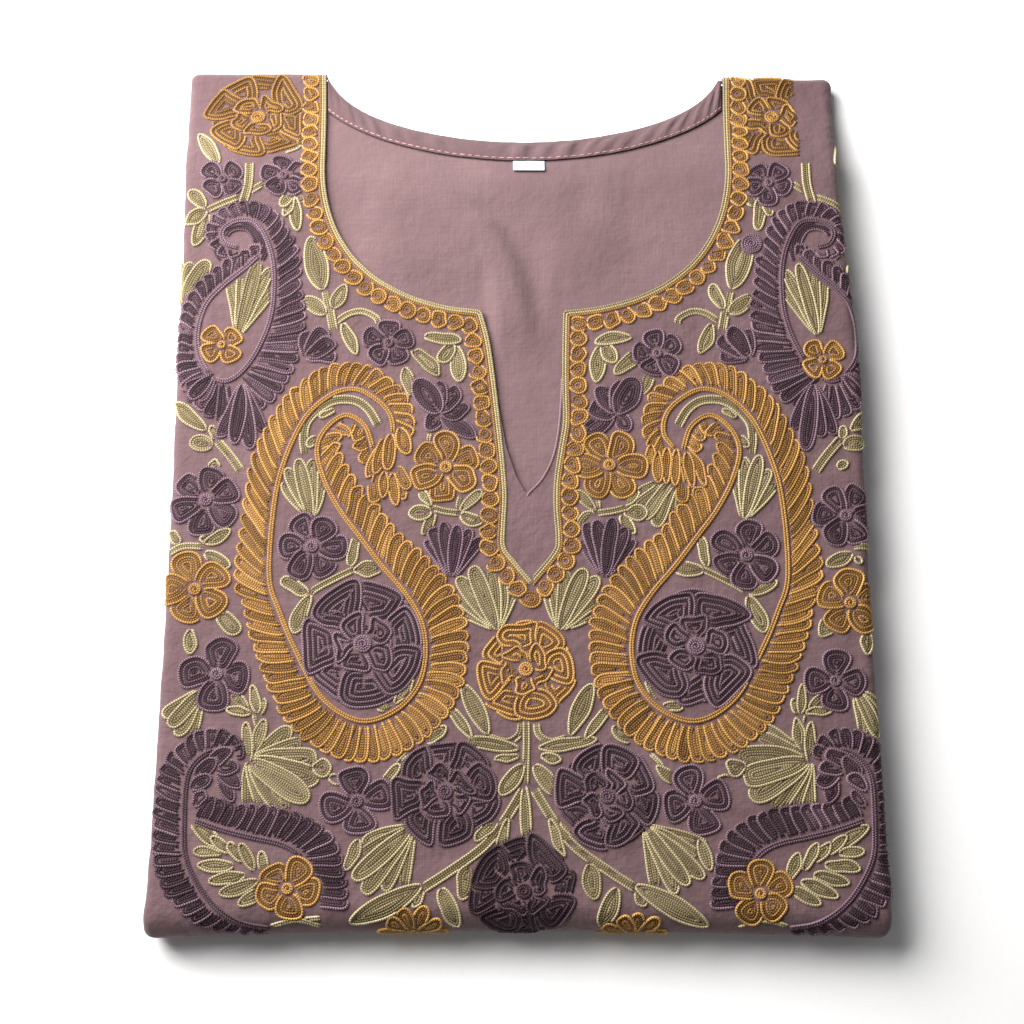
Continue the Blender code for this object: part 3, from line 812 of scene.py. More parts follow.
@dataclass
class FrontPanel:
    """The front of the tunic: one long cloth, folded in three storeys, with neck and slit."""

    wall: float = 0.0008
    cell: float = 0.0025
    hidden_cell: float = 0.0120
    small_turn_cell: float = 0.0022
    turn_cell: float = 0.0023
    shoulder_steps: int = 9
    flat_half: float = 0.147
    roll_steps: int = 10
    neck_floor: float = 0.0155
    past: float = 0.2200
    overlap: float = 1e-4

    def stations(self) -> np.ndarray:
        """Places along the cloth from the tail's end to the shoulder roll."""
        turn = float(PACKET.turn_y(np.array(0.0)))
        small_y = PACKET.lower_fold_y - PACKET.small_radius
        shoulder = PACKET.length / 2 - PACKET.roll
        low = turn - math.pi * PACKET.turn_radius
        small = low - (small_y - turn)
        tail = small - math.pi * PACKET.small_radius
        end = tail - (small_y - PACKET.tail_end_y)
        spans = (
            (end, tail, self.hidden_cell),
            (tail, small, self.small_turn_cell),
            (small, low, self.hidden_cell),
            (low, turn, self.turn_cell),
            (turn, shoulder, self.cell),
        )
        rows: list[float] = []
        for start, stop, step in spans:
            count = max(2, round((stop - start) / step))
            rows += list(np.linspace(start, stop, count, endpoint=False))
        rolled = shoulder + PACKET.shoulder_arc * PACKET.shoulder_roll
        return np.array(rows + list(np.linspace(shoulder, rolled, self.shoulder_steps)))

    def build(self) -> bpy.types.Object:
        """Builds and dresses the front."""
        rows = self.stations()
        flat_count = 2 * round(self.flat_half / self.cell)
        across = flat_count + 2 * self.roll_steps

        def place(column: np.ndarray, row: np.ndarray) -> tuple[np.ndarray, np.ndarray]:
            """Points and cloth coordinates of the grid."""
            v = rows[row.astype(int)]
            flat = np.clip((column - self.roll_steps) / flat_count, 0.0, 1.0) * 2 - 1
            rolled = np.maximum(self.roll_steps - column, column - self.roll_steps - flat_count)
            angle = np.maximum(rolled, 0.0) / self.roll_steps * PACKET.side_roll
            right = column > across / 2
            turn = PACKET.turn_y(flat * PACKET.flat_guess)
            start = PACKET.shoulder_y(flat * PACKET.flat_guess) - PACKET.roll
            level = PACKET.length / 2 - PACKET.roll
            middle_turn = float(PACKET.turn_y(np.array(0.0)))
            share = np.clip((v - middle_turn) / (level - middle_turn), 0.0, 1.0)
            v = v + (start - level) * share + (turn - middle_turn) * (1 - share)
            edge = PACKET.folds(flat * PACKET.flat_guess, v, right).edge
            u = flat * edge + np.where(right, 1, -1) * angle * PACKET.side_arc
            points = PACKET.frames(u, v)[0]
            return points, np.stack([u, v], axis=-1)

        panel = woven_sheet("front_cloth", across, len(rows) - 1, place)
        outline = np.vstack([NECK.side(False, self.past), NECK.side(True, self.past)[::-1]])
        neck = cutter("neck_tool", outline, self.neck_floor, CUT_HIGH)
        last = NECK.side_points - 1
        strap = outline[[0, last, -1 - last, -1]] + np.array([[0, 0], [0, 1], [0, 1], [0, 0]]) * self.overlap
        thicken_and_cut(panel, self.wall, [neck, cutter("strap_tool", strap, CUT_LOW, CUT_HIGH)])
        shade(panel.data, 50)
        cotton = CottonCloth("mauve_handloom_cotton", "80686b", "614a4d", pucker=0.5)
        give(panel, cotton.make())
        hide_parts("front_panel")
        return panel


@dataclass
class BackPanel:
    """The inside of the back, seen through the neck."""

    wall: float = 0.0007
    across: int = 110
    along: int = 140
    shoulder_reach: float = 0.145
    neckline_points: int = 140
    past: float = 0.22
    map_shift: float = 0.9

    def build(self) -> bpy.types.Object:
        """Builds and dresses the back."""

        def place(column: np.ndarray, row: np.ndarray) -> tuple[np.ndarray, np.ndarray]:
            """Points and cloth coordinates of the grid."""
            share = -1 + 2 * column / self.across
            start = PACKET.shoulder_y(share * self.shoulder_reach) - PACKET.roll - PACKET.gap
            y = PACKET.tail_end_y + (start - PACKET.tail_end_y) * row / self.along
            x = share * (PACKET.half_width(y, share > 0) - PACKET.roll - PACKET.gap)
            z = PACKET.back_top(x, y)
            return np.stack([x, y, z], axis=-1), np.stack([x + self.map_shift, y], axis=-1)

        panel = woven_sheet("back_cloth", self.across, self.along, place)
        count = self.neckline_points
        line = NECK.back_point(np.linspace(0, 1, count), np.zeros(count))
        outline = np.vstack([line, [[line[-1][0], self.past], [line[0][0], self.past]]])
        thicken_and_cut(panel, self.wall, [cutter("back_neck_tool", outline, CUT_LOW, CUT_HIGH)])
        shade(panel.data, 50)
        cotton = CottonCloth("mauve_cotton_inside", "8a7174", "6a5355", pucker=0.3)
        give(panel, cotton.make())
        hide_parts("back_panel")
        return panel


@dataclass
class NeckFacing:
    """The turned strip along the back neckline, crinkled by its seam, with pink stitches."""

    wall: float = 0.0007
    width: float = 0.0106
    lift: float = 0.0007
    across: int = 260
    along: int = 7
    side_gap: float = 0.0006
    length: float = 0.214
    edge_gap: float = 0.0002
    puff: float = 0.0009
    crinkle: float = 0.0013
    crinkles: int = 14
    crinkle_counts: tuple[float, float] = (4, 27)
    crinkle_slants: tuple[float, float] = (-0.35, 0.45)
    crinkle_sum: float = 4.5
    seed: int = 11
    map_length: float = 0.21
    map_shift: tuple[float, float] = (0.4, 0.3)
    stitch: float = 0.0029
    stitch_gap: float = 0.0035
    stitch_place: float = 0.93
    stitch_half: tuple[float, float] = (0.00022, 0.00026)
    stitch_lift: float = 0.00010
    stitch_seed: int = 5

    def ends(self, wider: np.ndarray) -> tuple[np.ndarray, np.ndarray]:
        """Where the strip starts and ends, under the front's neck edge or at the shoulder.

        Args:
            wider: Distances from the neckline.

        Returns:
            The places of both ends, 0 to 1 along the neckline.
        """
        places = []
        for toward, fall in ((-1.0, 0.0), (1.0, PACKET.right_shoulder_fall)):
            last = NECK.last_y - fall
            y = np.full(np.shape(wider), last)
            for _ in range(5):
                out = NECK.half_width + NECK.flare * (y - NECK.centre_y) - self.side_gap
                away = np.abs(NECK.centre_x + toward * out - NECK.back_centre[0])
                reach = np.minimum(away / (NECK.back_half_width + wider), 1.0)
                drop = (NECK.back_depth + wider) * np.sqrt(1 - reach**2)
                y = np.minimum(last, NECK.back_centre[1] - drop)
            angle = np.arcsin((NECK.back_centre[1] - y) / (NECK.back_depth + wider))
            places.append(angle / math.pi if toward < 0 else 1 - angle / math.pi)
        return places[0], places[1]

    def place(self, share: np.ndarray, wider: np.ndarray) -> np.ndarray:
        """Places on the strip's crinkled upper face.

        Args:
            share: Shares of the strip's length.
            wider: Distances from the neckline.

        Returns:
            Points in metres.
        """
        start, end = self.ends(wider)
        spot = NECK.back_point(start + (end - start) * share, wider)
        down = wider / self.width
        rng = np.random.default_rng(self.seed)
        waves = np.zeros(np.shape(share))
        for _ in range(self.crinkles):
            count = rng.uniform(*self.crinkle_counts)
            slant = rng.uniform(*self.crinkle_slants)
            waves += np.sin(2 * math.pi * (count * share + slant * down) + rng.uniform(0, 6.28))
        # The crinkles come in patches, with smoother cloth between
        slow = np.sin(2 * math.pi * (1.7 * share + 0.1))
        patches = 0.55 + 0.45 * slow * np.sin(2 * math.pi * (4.1 * share + 0.6))
        waves = np.clip(waves / self.crinkle_sum, -1, 1) * patches
        middle = np.clip(4 * down * (1 - down), 0, 1)
        rise = self.puff * middle + self.crinkle * waves * (0.12 + 0.88 * middle)
        z = PACKET.back_top(spot[..., 0], spot[..., 1]) + self.lift + self.wall + rise
        return np.concatenate([spot, z[..., None]], axis=-1)

    def stitches(self) -> bpy.types.Object:
        """The pink stitches along the strip's lower edge."""
        rng = np.random.default_rng(self.stitch_seed)
        bm = bmesh.new()
        count = int(self.length / self.stitch_gap)
        wider = np.full(2, self.width * self.stitch_place)
        for i in range(count):
            half = 0.5 * self.stitch * rng.uniform(0.75, 1.1) / self.length
            ends = self.place((i + 0.5) / count + np.array([-half, half]), wider)
            start, end = (Vector(point) for point in ends)
            along = (end - start) / 2
            across = Vector((0, 0, 1)).cross(along).normalized() * self.stitch_half[0]
            middle = (start + end) / 2 + Vector((0, 0, self.stitch_lift))
            axes = Matrix((along, across, (0, 0, self.stitch_half[1]))).transposed().to_4x4()
            axes = Matrix.Translation(middle) @ axes
            bmesh.ops.create_icosphere(bm, subdivisions=2, radius=1.0, matrix=axes)
        mesh = bpy.data.meshes.new("facing_stitches")
        bm.to_mesh(mesh)
        bm.free()
        shade(mesh, 180)
        row = new_piece("facing_stitches", mesh)
        material, tree, shader = new_material("pink_sewing_thread")
        where = add_node(tree, "ShaderNodeTexCoord").outputs["Object"]
        noise = add_node(tree, "ShaderNodeTexNoise", Vector=where, Scale=1400.0, Detail=2.0)
        ramp = add_node(tree, "ShaderNodeValToRGB", Fac=noise.outputs["Fac"])
        ramp.color_ramp.elements[0].color = linear("a87c7b")
        ramp.color_ramp.elements[1].color = linear("dcb0ac")
        tree.links.new(ramp.outputs["Color"], shader.inputs["Base Color"])
        shader.inputs["Roughness"].default_value = 0.6
        give(row, material)
        return row

    def build(self) -> bpy.types.Object:
        """Builds the strip and dresses it."""

        def place(column: np.ndarray, row: np.ndarray) -> tuple[np.ndarray, np.ndarray]:
            """Points and cloth coordinates of the grid, rows from the lower edge up."""
            share = column / self.across
            wider = self.width * (1 - row / self.along) + self.edge_gap
            cloth = [share * self.map_length + self.map_shift[0], wider + self.map_shift[1]]
            return self.place(share, wider), np.stack(cloth, axis=-1)

        strip = woven_sheet("facing_cloth", self.across, self.along, place)
        thicken_and_cut(strip, self.wall, [])
        shade(strip.data, 60)
        cotton = CottonCloth("mauve_cotton_facing", "7d6467", "5f494b", pucker=0.4)
        give(strip, cotton.make())
        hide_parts("back_neck_facing")
        return strip


@dataclass
class SizeTab:
    """The blank tab of white tape under the facing."""

    width: float = 0.0144
    drop: float = 0.0056
    wall: float = 0.0005
    centre_x: float = 0.0057
    facing_width: float = 0.0106
    curl: float = 0.0007
    across: int = 16
    along: int = 8

    def build(self) -> bpy.types.Object:
        """Builds the tab from woven satin tape."""

        def place(column: np.ndarray, row: np.ndarray) -> tuple[np.ndarray, np.ndarray]:
            """Points and cloth coordinates of the grid, rows from the lower edge up."""
            down = 1 - row / self.along
            x = self.centre_x + self.width * (column / self.across - 0.5)
            top = NECK.back_centre[1] - NECK.back_depth - self.facing_width - 2 * PACKET.gap
            y = top - self.drop * down
            z = PACKET.back_top(x, y) + PACKET.gap + self.wall + self.curl * down**2
            return np.stack([x, y, z], axis=-1), np.stack([x, y], axis=-1)

        tab = woven_sheet("size_tab", self.across, self.along, place)
        thicken_and_cut(tab, self.wall, [])
        shade(tab.data, 60)
        material, tree, shader = new_material("white_satin_tape")
        where = add_node(tree, "ShaderNodeUVMap", {"uv_map": "cloth"}).outputs["UV"]
        ribs = add_node(tree, "ShaderNodeTexWave", {"bands_direction": "Y"}, Vector=where, Scale=300.0)
        ramp = add_node(tree, "ShaderNodeValToRGB", Fac=ribs.outputs["Fac"])
        ramp.color_ramp.elements[0].color = linear("cfdbe6")
        ramp.color_ramp.elements[1].color = linear("eef5fa")
        relief = {"Height": ribs.outputs["Fac"], "Strength": 0.2, "Distance": 0.0001}
        bump = add_node(tree, "ShaderNodeBump", **relief)
        tree.links.new(ramp.outputs["Color"], shader.inputs["Base Color"])
        tree.links.new(bump.outputs["Normal"], shader.inputs["Normal"])
        shader.inputs["Roughness"].default_value = 0.45
        give(tab, material)
        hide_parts("size_label")
        return tab


@dataclass
class FoldedLayers:
    """The hidden sleeves, sides and skirt: a stack of cloth that only shows at its edges."""

    def build(self) -> bpy.types.Object:
        """Takes the shape of the frame's own layers and dresses it as cut cloth."""
        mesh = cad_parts["folded_layers"].data.copy()
        mesh.name = "layers_cloth"
        bm = bmesh.new()
        bm.from_mesh(mesh)
        bmesh.ops.remove_doubles(bm, verts=bm.verts, dist=1e-6)
        bmesh.ops.recalc_face_normals(bm, faces=bm.faces)
        bm.to_mesh(mesh)
        bm.free()
        count = len(mesh.loops)
        corners = np.empty(count, np.int32)
        mesh.loops.foreach_get("vertex_index", corners)
        points = np.empty(len(mesh.vertices) * 3, np.float32)
        mesh.vertices.foreach_get("co", points)
        points = points.reshape(-1, 3)
        layer = mesh.uv_layers.new(name="cloth")
        cloth = np.stack([points[:, 0] + points[:, 2], points[:, 1] + points[:, 2]], axis=-1)
        layer.data.foreach_set("uv", cloth[corners].ravel())
        shade(mesh, 40)
        stack = new_piece("layers_cloth", mesh)
        give(stack, CottonCloth("mauve_cotton_layers", "80686b", "614a4d").make())
        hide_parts("folded_layers")
        return stack


# Distance between rows of chain stitch, and the sum of x of a place and its mirror image
GAP = 1.12
MIRROR = 10.4
# Rows end at the rolled sides, the shoulders and below the lower turn
SEWN_SIDE = 157.5
SEWN_TOP = 204.0
SEWN_LOW = -216.0
NO_LIMIT = 999.0


class RailPoint(NamedTuple):
    """A place on the inner edge of a plume of feathers: their reach and their lean in degrees."""

    x: float
    y: float
    reach: float
    lean: float


class Leaf(NamedTuple):
    """A single leaf by its middle, size and heading in degrees."""

    x: float
    y: float
    length: float
    width: float
    turn: float


class Fan(NamedTuple):
    """Narrow leaves that spread from one place, the middle ones longest."""

    x: float
    y: float
    turn: float
    length: float
    spread: float
    count: int
    width: float


class Flower(NamedTuple):
    """A flower of round petals."""

    x: float
    y: float
    radius: float
    petals: int
    turn: float


class Rosette(NamedTuple):
    """A big flower of folded lobes round a coil."""

    x: float
    y: float
    radius: float
    lobes: int
    turn: float
    right_limit: float = NO_LIMIT


class Side(Enum):
    """The sides of the front."""

    LEFT = "left"
    RIGHT = "right"


class Stem(NamedTuple):
    """A stem of side by side rows through a few places."""

    rows: int
    places: tuple[tuple[float, float], ...]


def mirrored(motif: NamedTuple) -> NamedTuple:
    """The same motif on the other side of the front's middle line."""
    if isinstance(motif, Stem):
        return Stem(motif.rows, tuple((MIRROR - x, y) for x, y in motif.places))
    motif = motif._replace(x=MIRROR - motif.x)
    return motif if isinstance(motif, RailPoint) else motif._replace(turn=180.0 - motif.turn)


def lengths(points: np.ndarray) -> np.ndarray:
    """Length along a line at each of its points."""
    steps = np.linalg.norm(np.diff(points, axis=0), axis=1)
    return np.concatenate([[0.0], np.cumsum(steps)])


def places_at(points: np.ndarray, marks: np.ndarray, along: np.ndarray) -> np.ndarray:
    """Places on a line at some marks, where along tells how far its own points are."""
    return np.stack([np.interp(marks, along, points[:, 0]), np.interp(marks, along, points[:, 1])], axis=-1)


def resample(points: np.ndarray, step: float) -> np.ndarray:
    """The same line with points an even step apart."""
    along = lengths(points)
    count = max(3, int(round(along[-1] / step)) + 1)
    return places_at(points, np.linspace(0.0, along[-1], count), along)


def curve(knots: Iterable[tuple[float, float]], dense: int = 12) -> np.ndarray:
    """A smooth curve through places, with a fixed number of points between each two."""
    knots = np.asarray(list(knots), float)
    ends = np.vstack([2 * knots[0] - knots[1], knots, 2 * knots[-1] - knots[-2]])
    share = np.linspace(0, 1, dense, endpoint=False)[:, None]
    spans = []
    for a, b, c, d in zip(ends, ends[1:], ends[2:], ends[3:]):
        square = 2 * a - 5 * b + 4 * c - d
        cubic = 3 * b - a - 3 * c + d
        spans.append(0.5 * (2 * b + (c - a) * share + square * share**2 + cubic * share**3))
    return np.vstack([*spans, knots[-1:]])


def headings(points: np.ndarray) -> np.ndarray:
    """Unit directions along a line."""
    ways = np.gradient(points, axis=0)
    return ways / np.maximum(np.linalg.norm(ways, axis=1, keepdims=True), TINY)


def turned(points: np.ndarray, degrees: float) -> np.ndarray:
    """Points turned about the origin."""
    angle = math.radians(degrees)
    matrix = np.array([[math.cos(angle), math.sin(angle)], [-math.sin(angle), math.cos(angle)]])
    return points @ matrix


def pod(
    base: tuple[float, float],
    turn: float,
    length: float,
    base_width: float,
    tip_width: float,
    roundness: float = 2.0,
    bend: float = 0.0,
) -> np.ndarray:
    """Closed outline of a petal, leaf, feather or lobe.

    Args:
        base: Place of its lower end.
        turn: Heading from the base to the tip, in degrees.
        length: From base to tip.
        base_width: Width towards the base.
        tip_width: Width towards the tip.
        roundness: 2 is an ellipse, less is pointed, more is a rounded bar.
        bend: Sideways sweep of the tip, as a share of the length.

    Returns:
        Points in millimetres, starting at the base.
    """
    angle = np.linspace(0, 2 * math.pi, 60, endpoint=False)
    cosine, sine = np.cos(angle), np.sin(angle)
    along = (1 - np.sign(cosine) * np.abs(cosine) ** (2 / roundness)) / 2
    width = base_width + (tip_width - base_width) * along
    across = np.sign(sine) * np.abs(sine) ** (2 / roundness) * width / 2 + bend * length * along**2
    return turned(np.stack([along * length, across], axis=-1), turn) + np.asarray(base)


def nested(outline: np.ndarray, gap: float = GAP, most: int = 12) -> list[np.ndarray]:
    """Rows inside a closed outline, each a gap inside the last.

    Args:
        outline: Closed outline without a repeated point.
        gap: Distance between rows.
        most: Greatest number of rows.

    Returns:
        Closed rows, the outermost first; the first point is repeated at the end.
    """
    edge = resample(np.vstack([outline, outline[:1]]), 0.75)[:-1]
    ways = np.roll(edge, -1, axis=0) - np.roll(edge, 1, axis=0)
    ways /= np.maximum(np.linalg.norm(ways, axis=1, keepdims=True), TINY)
    area = np.sum(edge[:, 0] * np.roll(edge[:, 1], -1) - np.roll(edge[:, 0], -1) * edge[:, 1])
    inward = np.stack([-ways[:, 1], ways[:, 0]], axis=-1) * (1 if area > 0 else -1)
    rows = []
    for i in range(most):
        reach = gap * (i + 0.5)
        shifted = edge + inward * reach
        nearest = np.linalg.norm(shifted[:, None] - edge[None], axis=-1).min(axis=1)
        kept = shifted[nearest > 0.965 * reach]
        if len(kept) < 6:
            break
        closed = np.vstack([kept, kept[:1]])
        if lengths(closed)[-1] < 3.0:
            break
        rows.append(closed)
    if rows and len(rows) < most:
        line = middle_line(rows[0][:-1])
        sewn = np.vstack(rows)
        line = line[np.linalg.norm(line[:, None] - sewn[None], axis=-1).min(axis=1) > 0.5 * gap]
        if len(line) > 3:
            rows.append(line)
    return rows


def middle_line(ring: np.ndarray) -> np.ndarray:
    """The line between the two long sides of a closed row, to fill what the nested rows leave open."""
    apart = np.linalg.norm(ring[:, None] - ring[None], axis=-1)
    first, last = sorted(np.unravel_index(int(apart.argmax()), apart.shape))
    one = ring[first : last + 1]
    other = np.vstack([ring[last:], ring[: first + 1]])[::-1]
    share = np.linspace(0.14, 0.86, 24)
    sides = []
    for side in (one, other):
        sides.append(places_at(side, share, lengths(side) / max(lengths(side)[-1], TINY)))
    return (sides[0] + sides[1]) / 2


def coil(x: float, y: float, radius: float, start: float = 0.0, gap: float = GAP) -> np.ndarray:
    """A spiral row that fills a disc and ends in a full circle."""
    outer = radius - gap / 2
    turns = max(outer - 0.35, 0.2) / gap
    angle = np.linspace(0, 2 * math.pi * (turns + 1), int(18 * (turns + 1)) + 6)
    reach = np.minimum(0.35 + gap * angle / (2 * math.pi), outer)
    angle = angle + math.radians(start)
    return np.stack([x + reach * np.cos(angle), y + reach * np.sin(angle)], axis=-1)


def beside(path: np.ndarray, distance: float, side: int) -> np.ndarray:
    """A line beside a path, trimmed where the path's corners bring it too near.

    Args:
        path: Points of the path.
        distance: How far beside it.
        side: 1 for the right of its heading, -1 for the left.

    Returns:
        Points of the line.
    """
    path = resample(path, 0.6)
    ways = headings(path)
    moved = path + distance * side * np.stack([ways[:, 1], -ways[:, 0]], axis=-1)
    nearest = np.linalg.norm(moved[:, None] - path[None], axis=-1).min(axis=1)
    return moved[nearest > 0.95 * distance]


def plume(
    rail: Iterable[RailPoint], side: int, pitch: float, bend: float = 0.0
) -> tuple[list[np.ndarray], np.ndarray]:
    """Outlines of feathers side by side along a rail, and of the band that they stand on.

    Args:
        rail: Places along the inner edge.
        side: 1 puts the feathers on the right of the rail's heading, -1 on the left.
        pitch: Distance between feathers halfway up.
        bend: Sweep of each tip.

    Returns:
        Closed outlines of the feathers and of the band.
    """
    rail = list(rail)
    knots = curve([(place.x, place.y) for place in rail])
    along = lengths(knots)
    marks = along[::12]
    line = resample(knots, 0.4)
    spots = np.linspace(0, along[-1], len(line))
    reach = np.interp(spots, marks, [place.reach for place in rail])
    lean = np.radians(np.interp(spots, marks, [place.lean for place in rail]))
    ways = headings(line)
    square = side * np.stack([ways[:, 1], -ways[:, 0]], axis=-1)
    aim = square * np.cos(lean)[:, None] + ways * np.sin(lean)[:, None]

    def sweep(share: float) -> np.ndarray:
        """Sideways progress of the feathers at a share of their reach."""
        places = line + aim * (reach * share)[:, None]
        steps = np.gradient(places, axis=0)
        return np.abs(steps[:, 0] * aim[:, 1] - steps[:, 1] * aim[:, 0])

    middle = sweep(0.55)
    progress = np.concatenate([[0.0], np.cumsum((middle[1:] + middle[:-1]) / 2)])
    count = max(2, int(progress[-1] / pitch))
    outlines = []
    base_ratio = sweep(0.12) / np.maximum(middle, 1e-6)
    tip_ratio = sweep(0.85) / np.maximum(middle, 1e-6)
    for mark in (np.arange(count) + 0.5) * progress[-1] / count:
        i = int(np.searchsorted(progress, mark))
        i = min(i, len(line) - 1)
        wide = progress[-1] / count
        base_width = float(np.clip(1.5 * wide * base_ratio[i], 3.4, 7.5))
        tip_width = float(np.clip(1.5 * wide * tip_ratio[i], 4.2, 9.5))
        turn = math.degrees(math.atan2(aim[i, 1], aim[i, 0]))
        # Each feather starts a millimetre under the rail
        base = tuple(line[i] - 1.0 * aim[i])
        outlines.append(pod(base, turn, float(reach[i]) + 1.0, base_width, tip_width, 3.0, bend * side))
    band = np.vstack([line, (line + aim * (0.80 * reach)[:, None])[::-1]])
    return outlines, band


@dataclass
class StitchMap:
    """What is already sewn on the cloth, so that a later motif goes round an earlier one."""

    cell: float = 0.4
    left: float = -180.0
    low: float = -240.0
    columns: int = 900
    lines: int = 1175

    def __post_init__(self) -> None:
        """Starts with bare cloth."""
        self.owner = np.zeros((self.lines, self.columns), np.int32)
        self.last = 0

    def cells(self, points: np.ndarray) -> tuple[np.ndarray, np.ndarray]:
        """Line and column of the cell under each point."""
        column = np.clip((points[..., 0] - self.left) / self.cell, 0, self.columns - 1).astype(int)
        line = np.clip((points[..., 1] - self.low) / self.cell, 0, self.lines - 1).astype(int)
        return line, column

    def claim_area(self, outline: np.ndarray) -> int:
        """Takes the bare cloth inside a closed outline.

        Args:
            outline: Closed outline without a repeated point.

        Returns:
            The number of the new owner.
        """
        self.last += 1
        lines, columns = self.cells(np.stack([outline.min(axis=0), outline.max(axis=0)]))
        x = self.left + (np.arange(columns[0], columns[1] + 1) + 0.5) * self.cell
        y = self.low + (np.arange(lines[0], lines[1] + 1) + 0.5) * self.cell
        x, y = np.meshgrid(x, y)
        inside = np.zeros(x.shape, bool)
        for (x0, y0), (x1, y1) in zip(outline, np.roll(outline, -1, axis=0)):
            if y0 != y1:
                inside ^= ((y0 > y) != (y1 > y)) & (x < (x1 - x0) * (y - y0) / (y1 - y0) + x0)
        # One cell less all round, so that the next motif's low rows tuck under this one's raised edge
        core = np.zeros(inside.shape, bool)
        core[1:-1, 1:-1] = inside[1:-1, 1:-1] & inside[:-2, 1:-1] & inside[2:, 1:-1]
        core[1:-1, 1:-1] &= inside[1:-1, :-2] & inside[1:-1, 2:]
        block = self.owner[lines[0] : lines[1] + 1, columns[0] : columns[1] + 1]
        block[core & (block == 0)] = self.last
        return self.last

    def claim_line(self, points: np.ndarray, reach: float = 0.42) -> int:
        """Takes the bare cloth along a line and returns the number of its new owner."""
        self.last += 1
        for across in (-reach, 0.0, reach):
            for along in (-reach, 0.0, reach):
                line, column = self.cells(points + (across, along))
                bare = self.owner[line, column] == 0
                self.owner[line[bare], column[bare]] = self.last
        return self.last

    def free(self, points: np.ndarray, owner: int, bare: bool = True) -> np.ndarray:
        """Whether each point lies on the owner's own cloth or, where allowed, on bare cloth."""
        found = self.owner[self.cells(points)]
        return (bare & (found == 0)) | (found == owner)


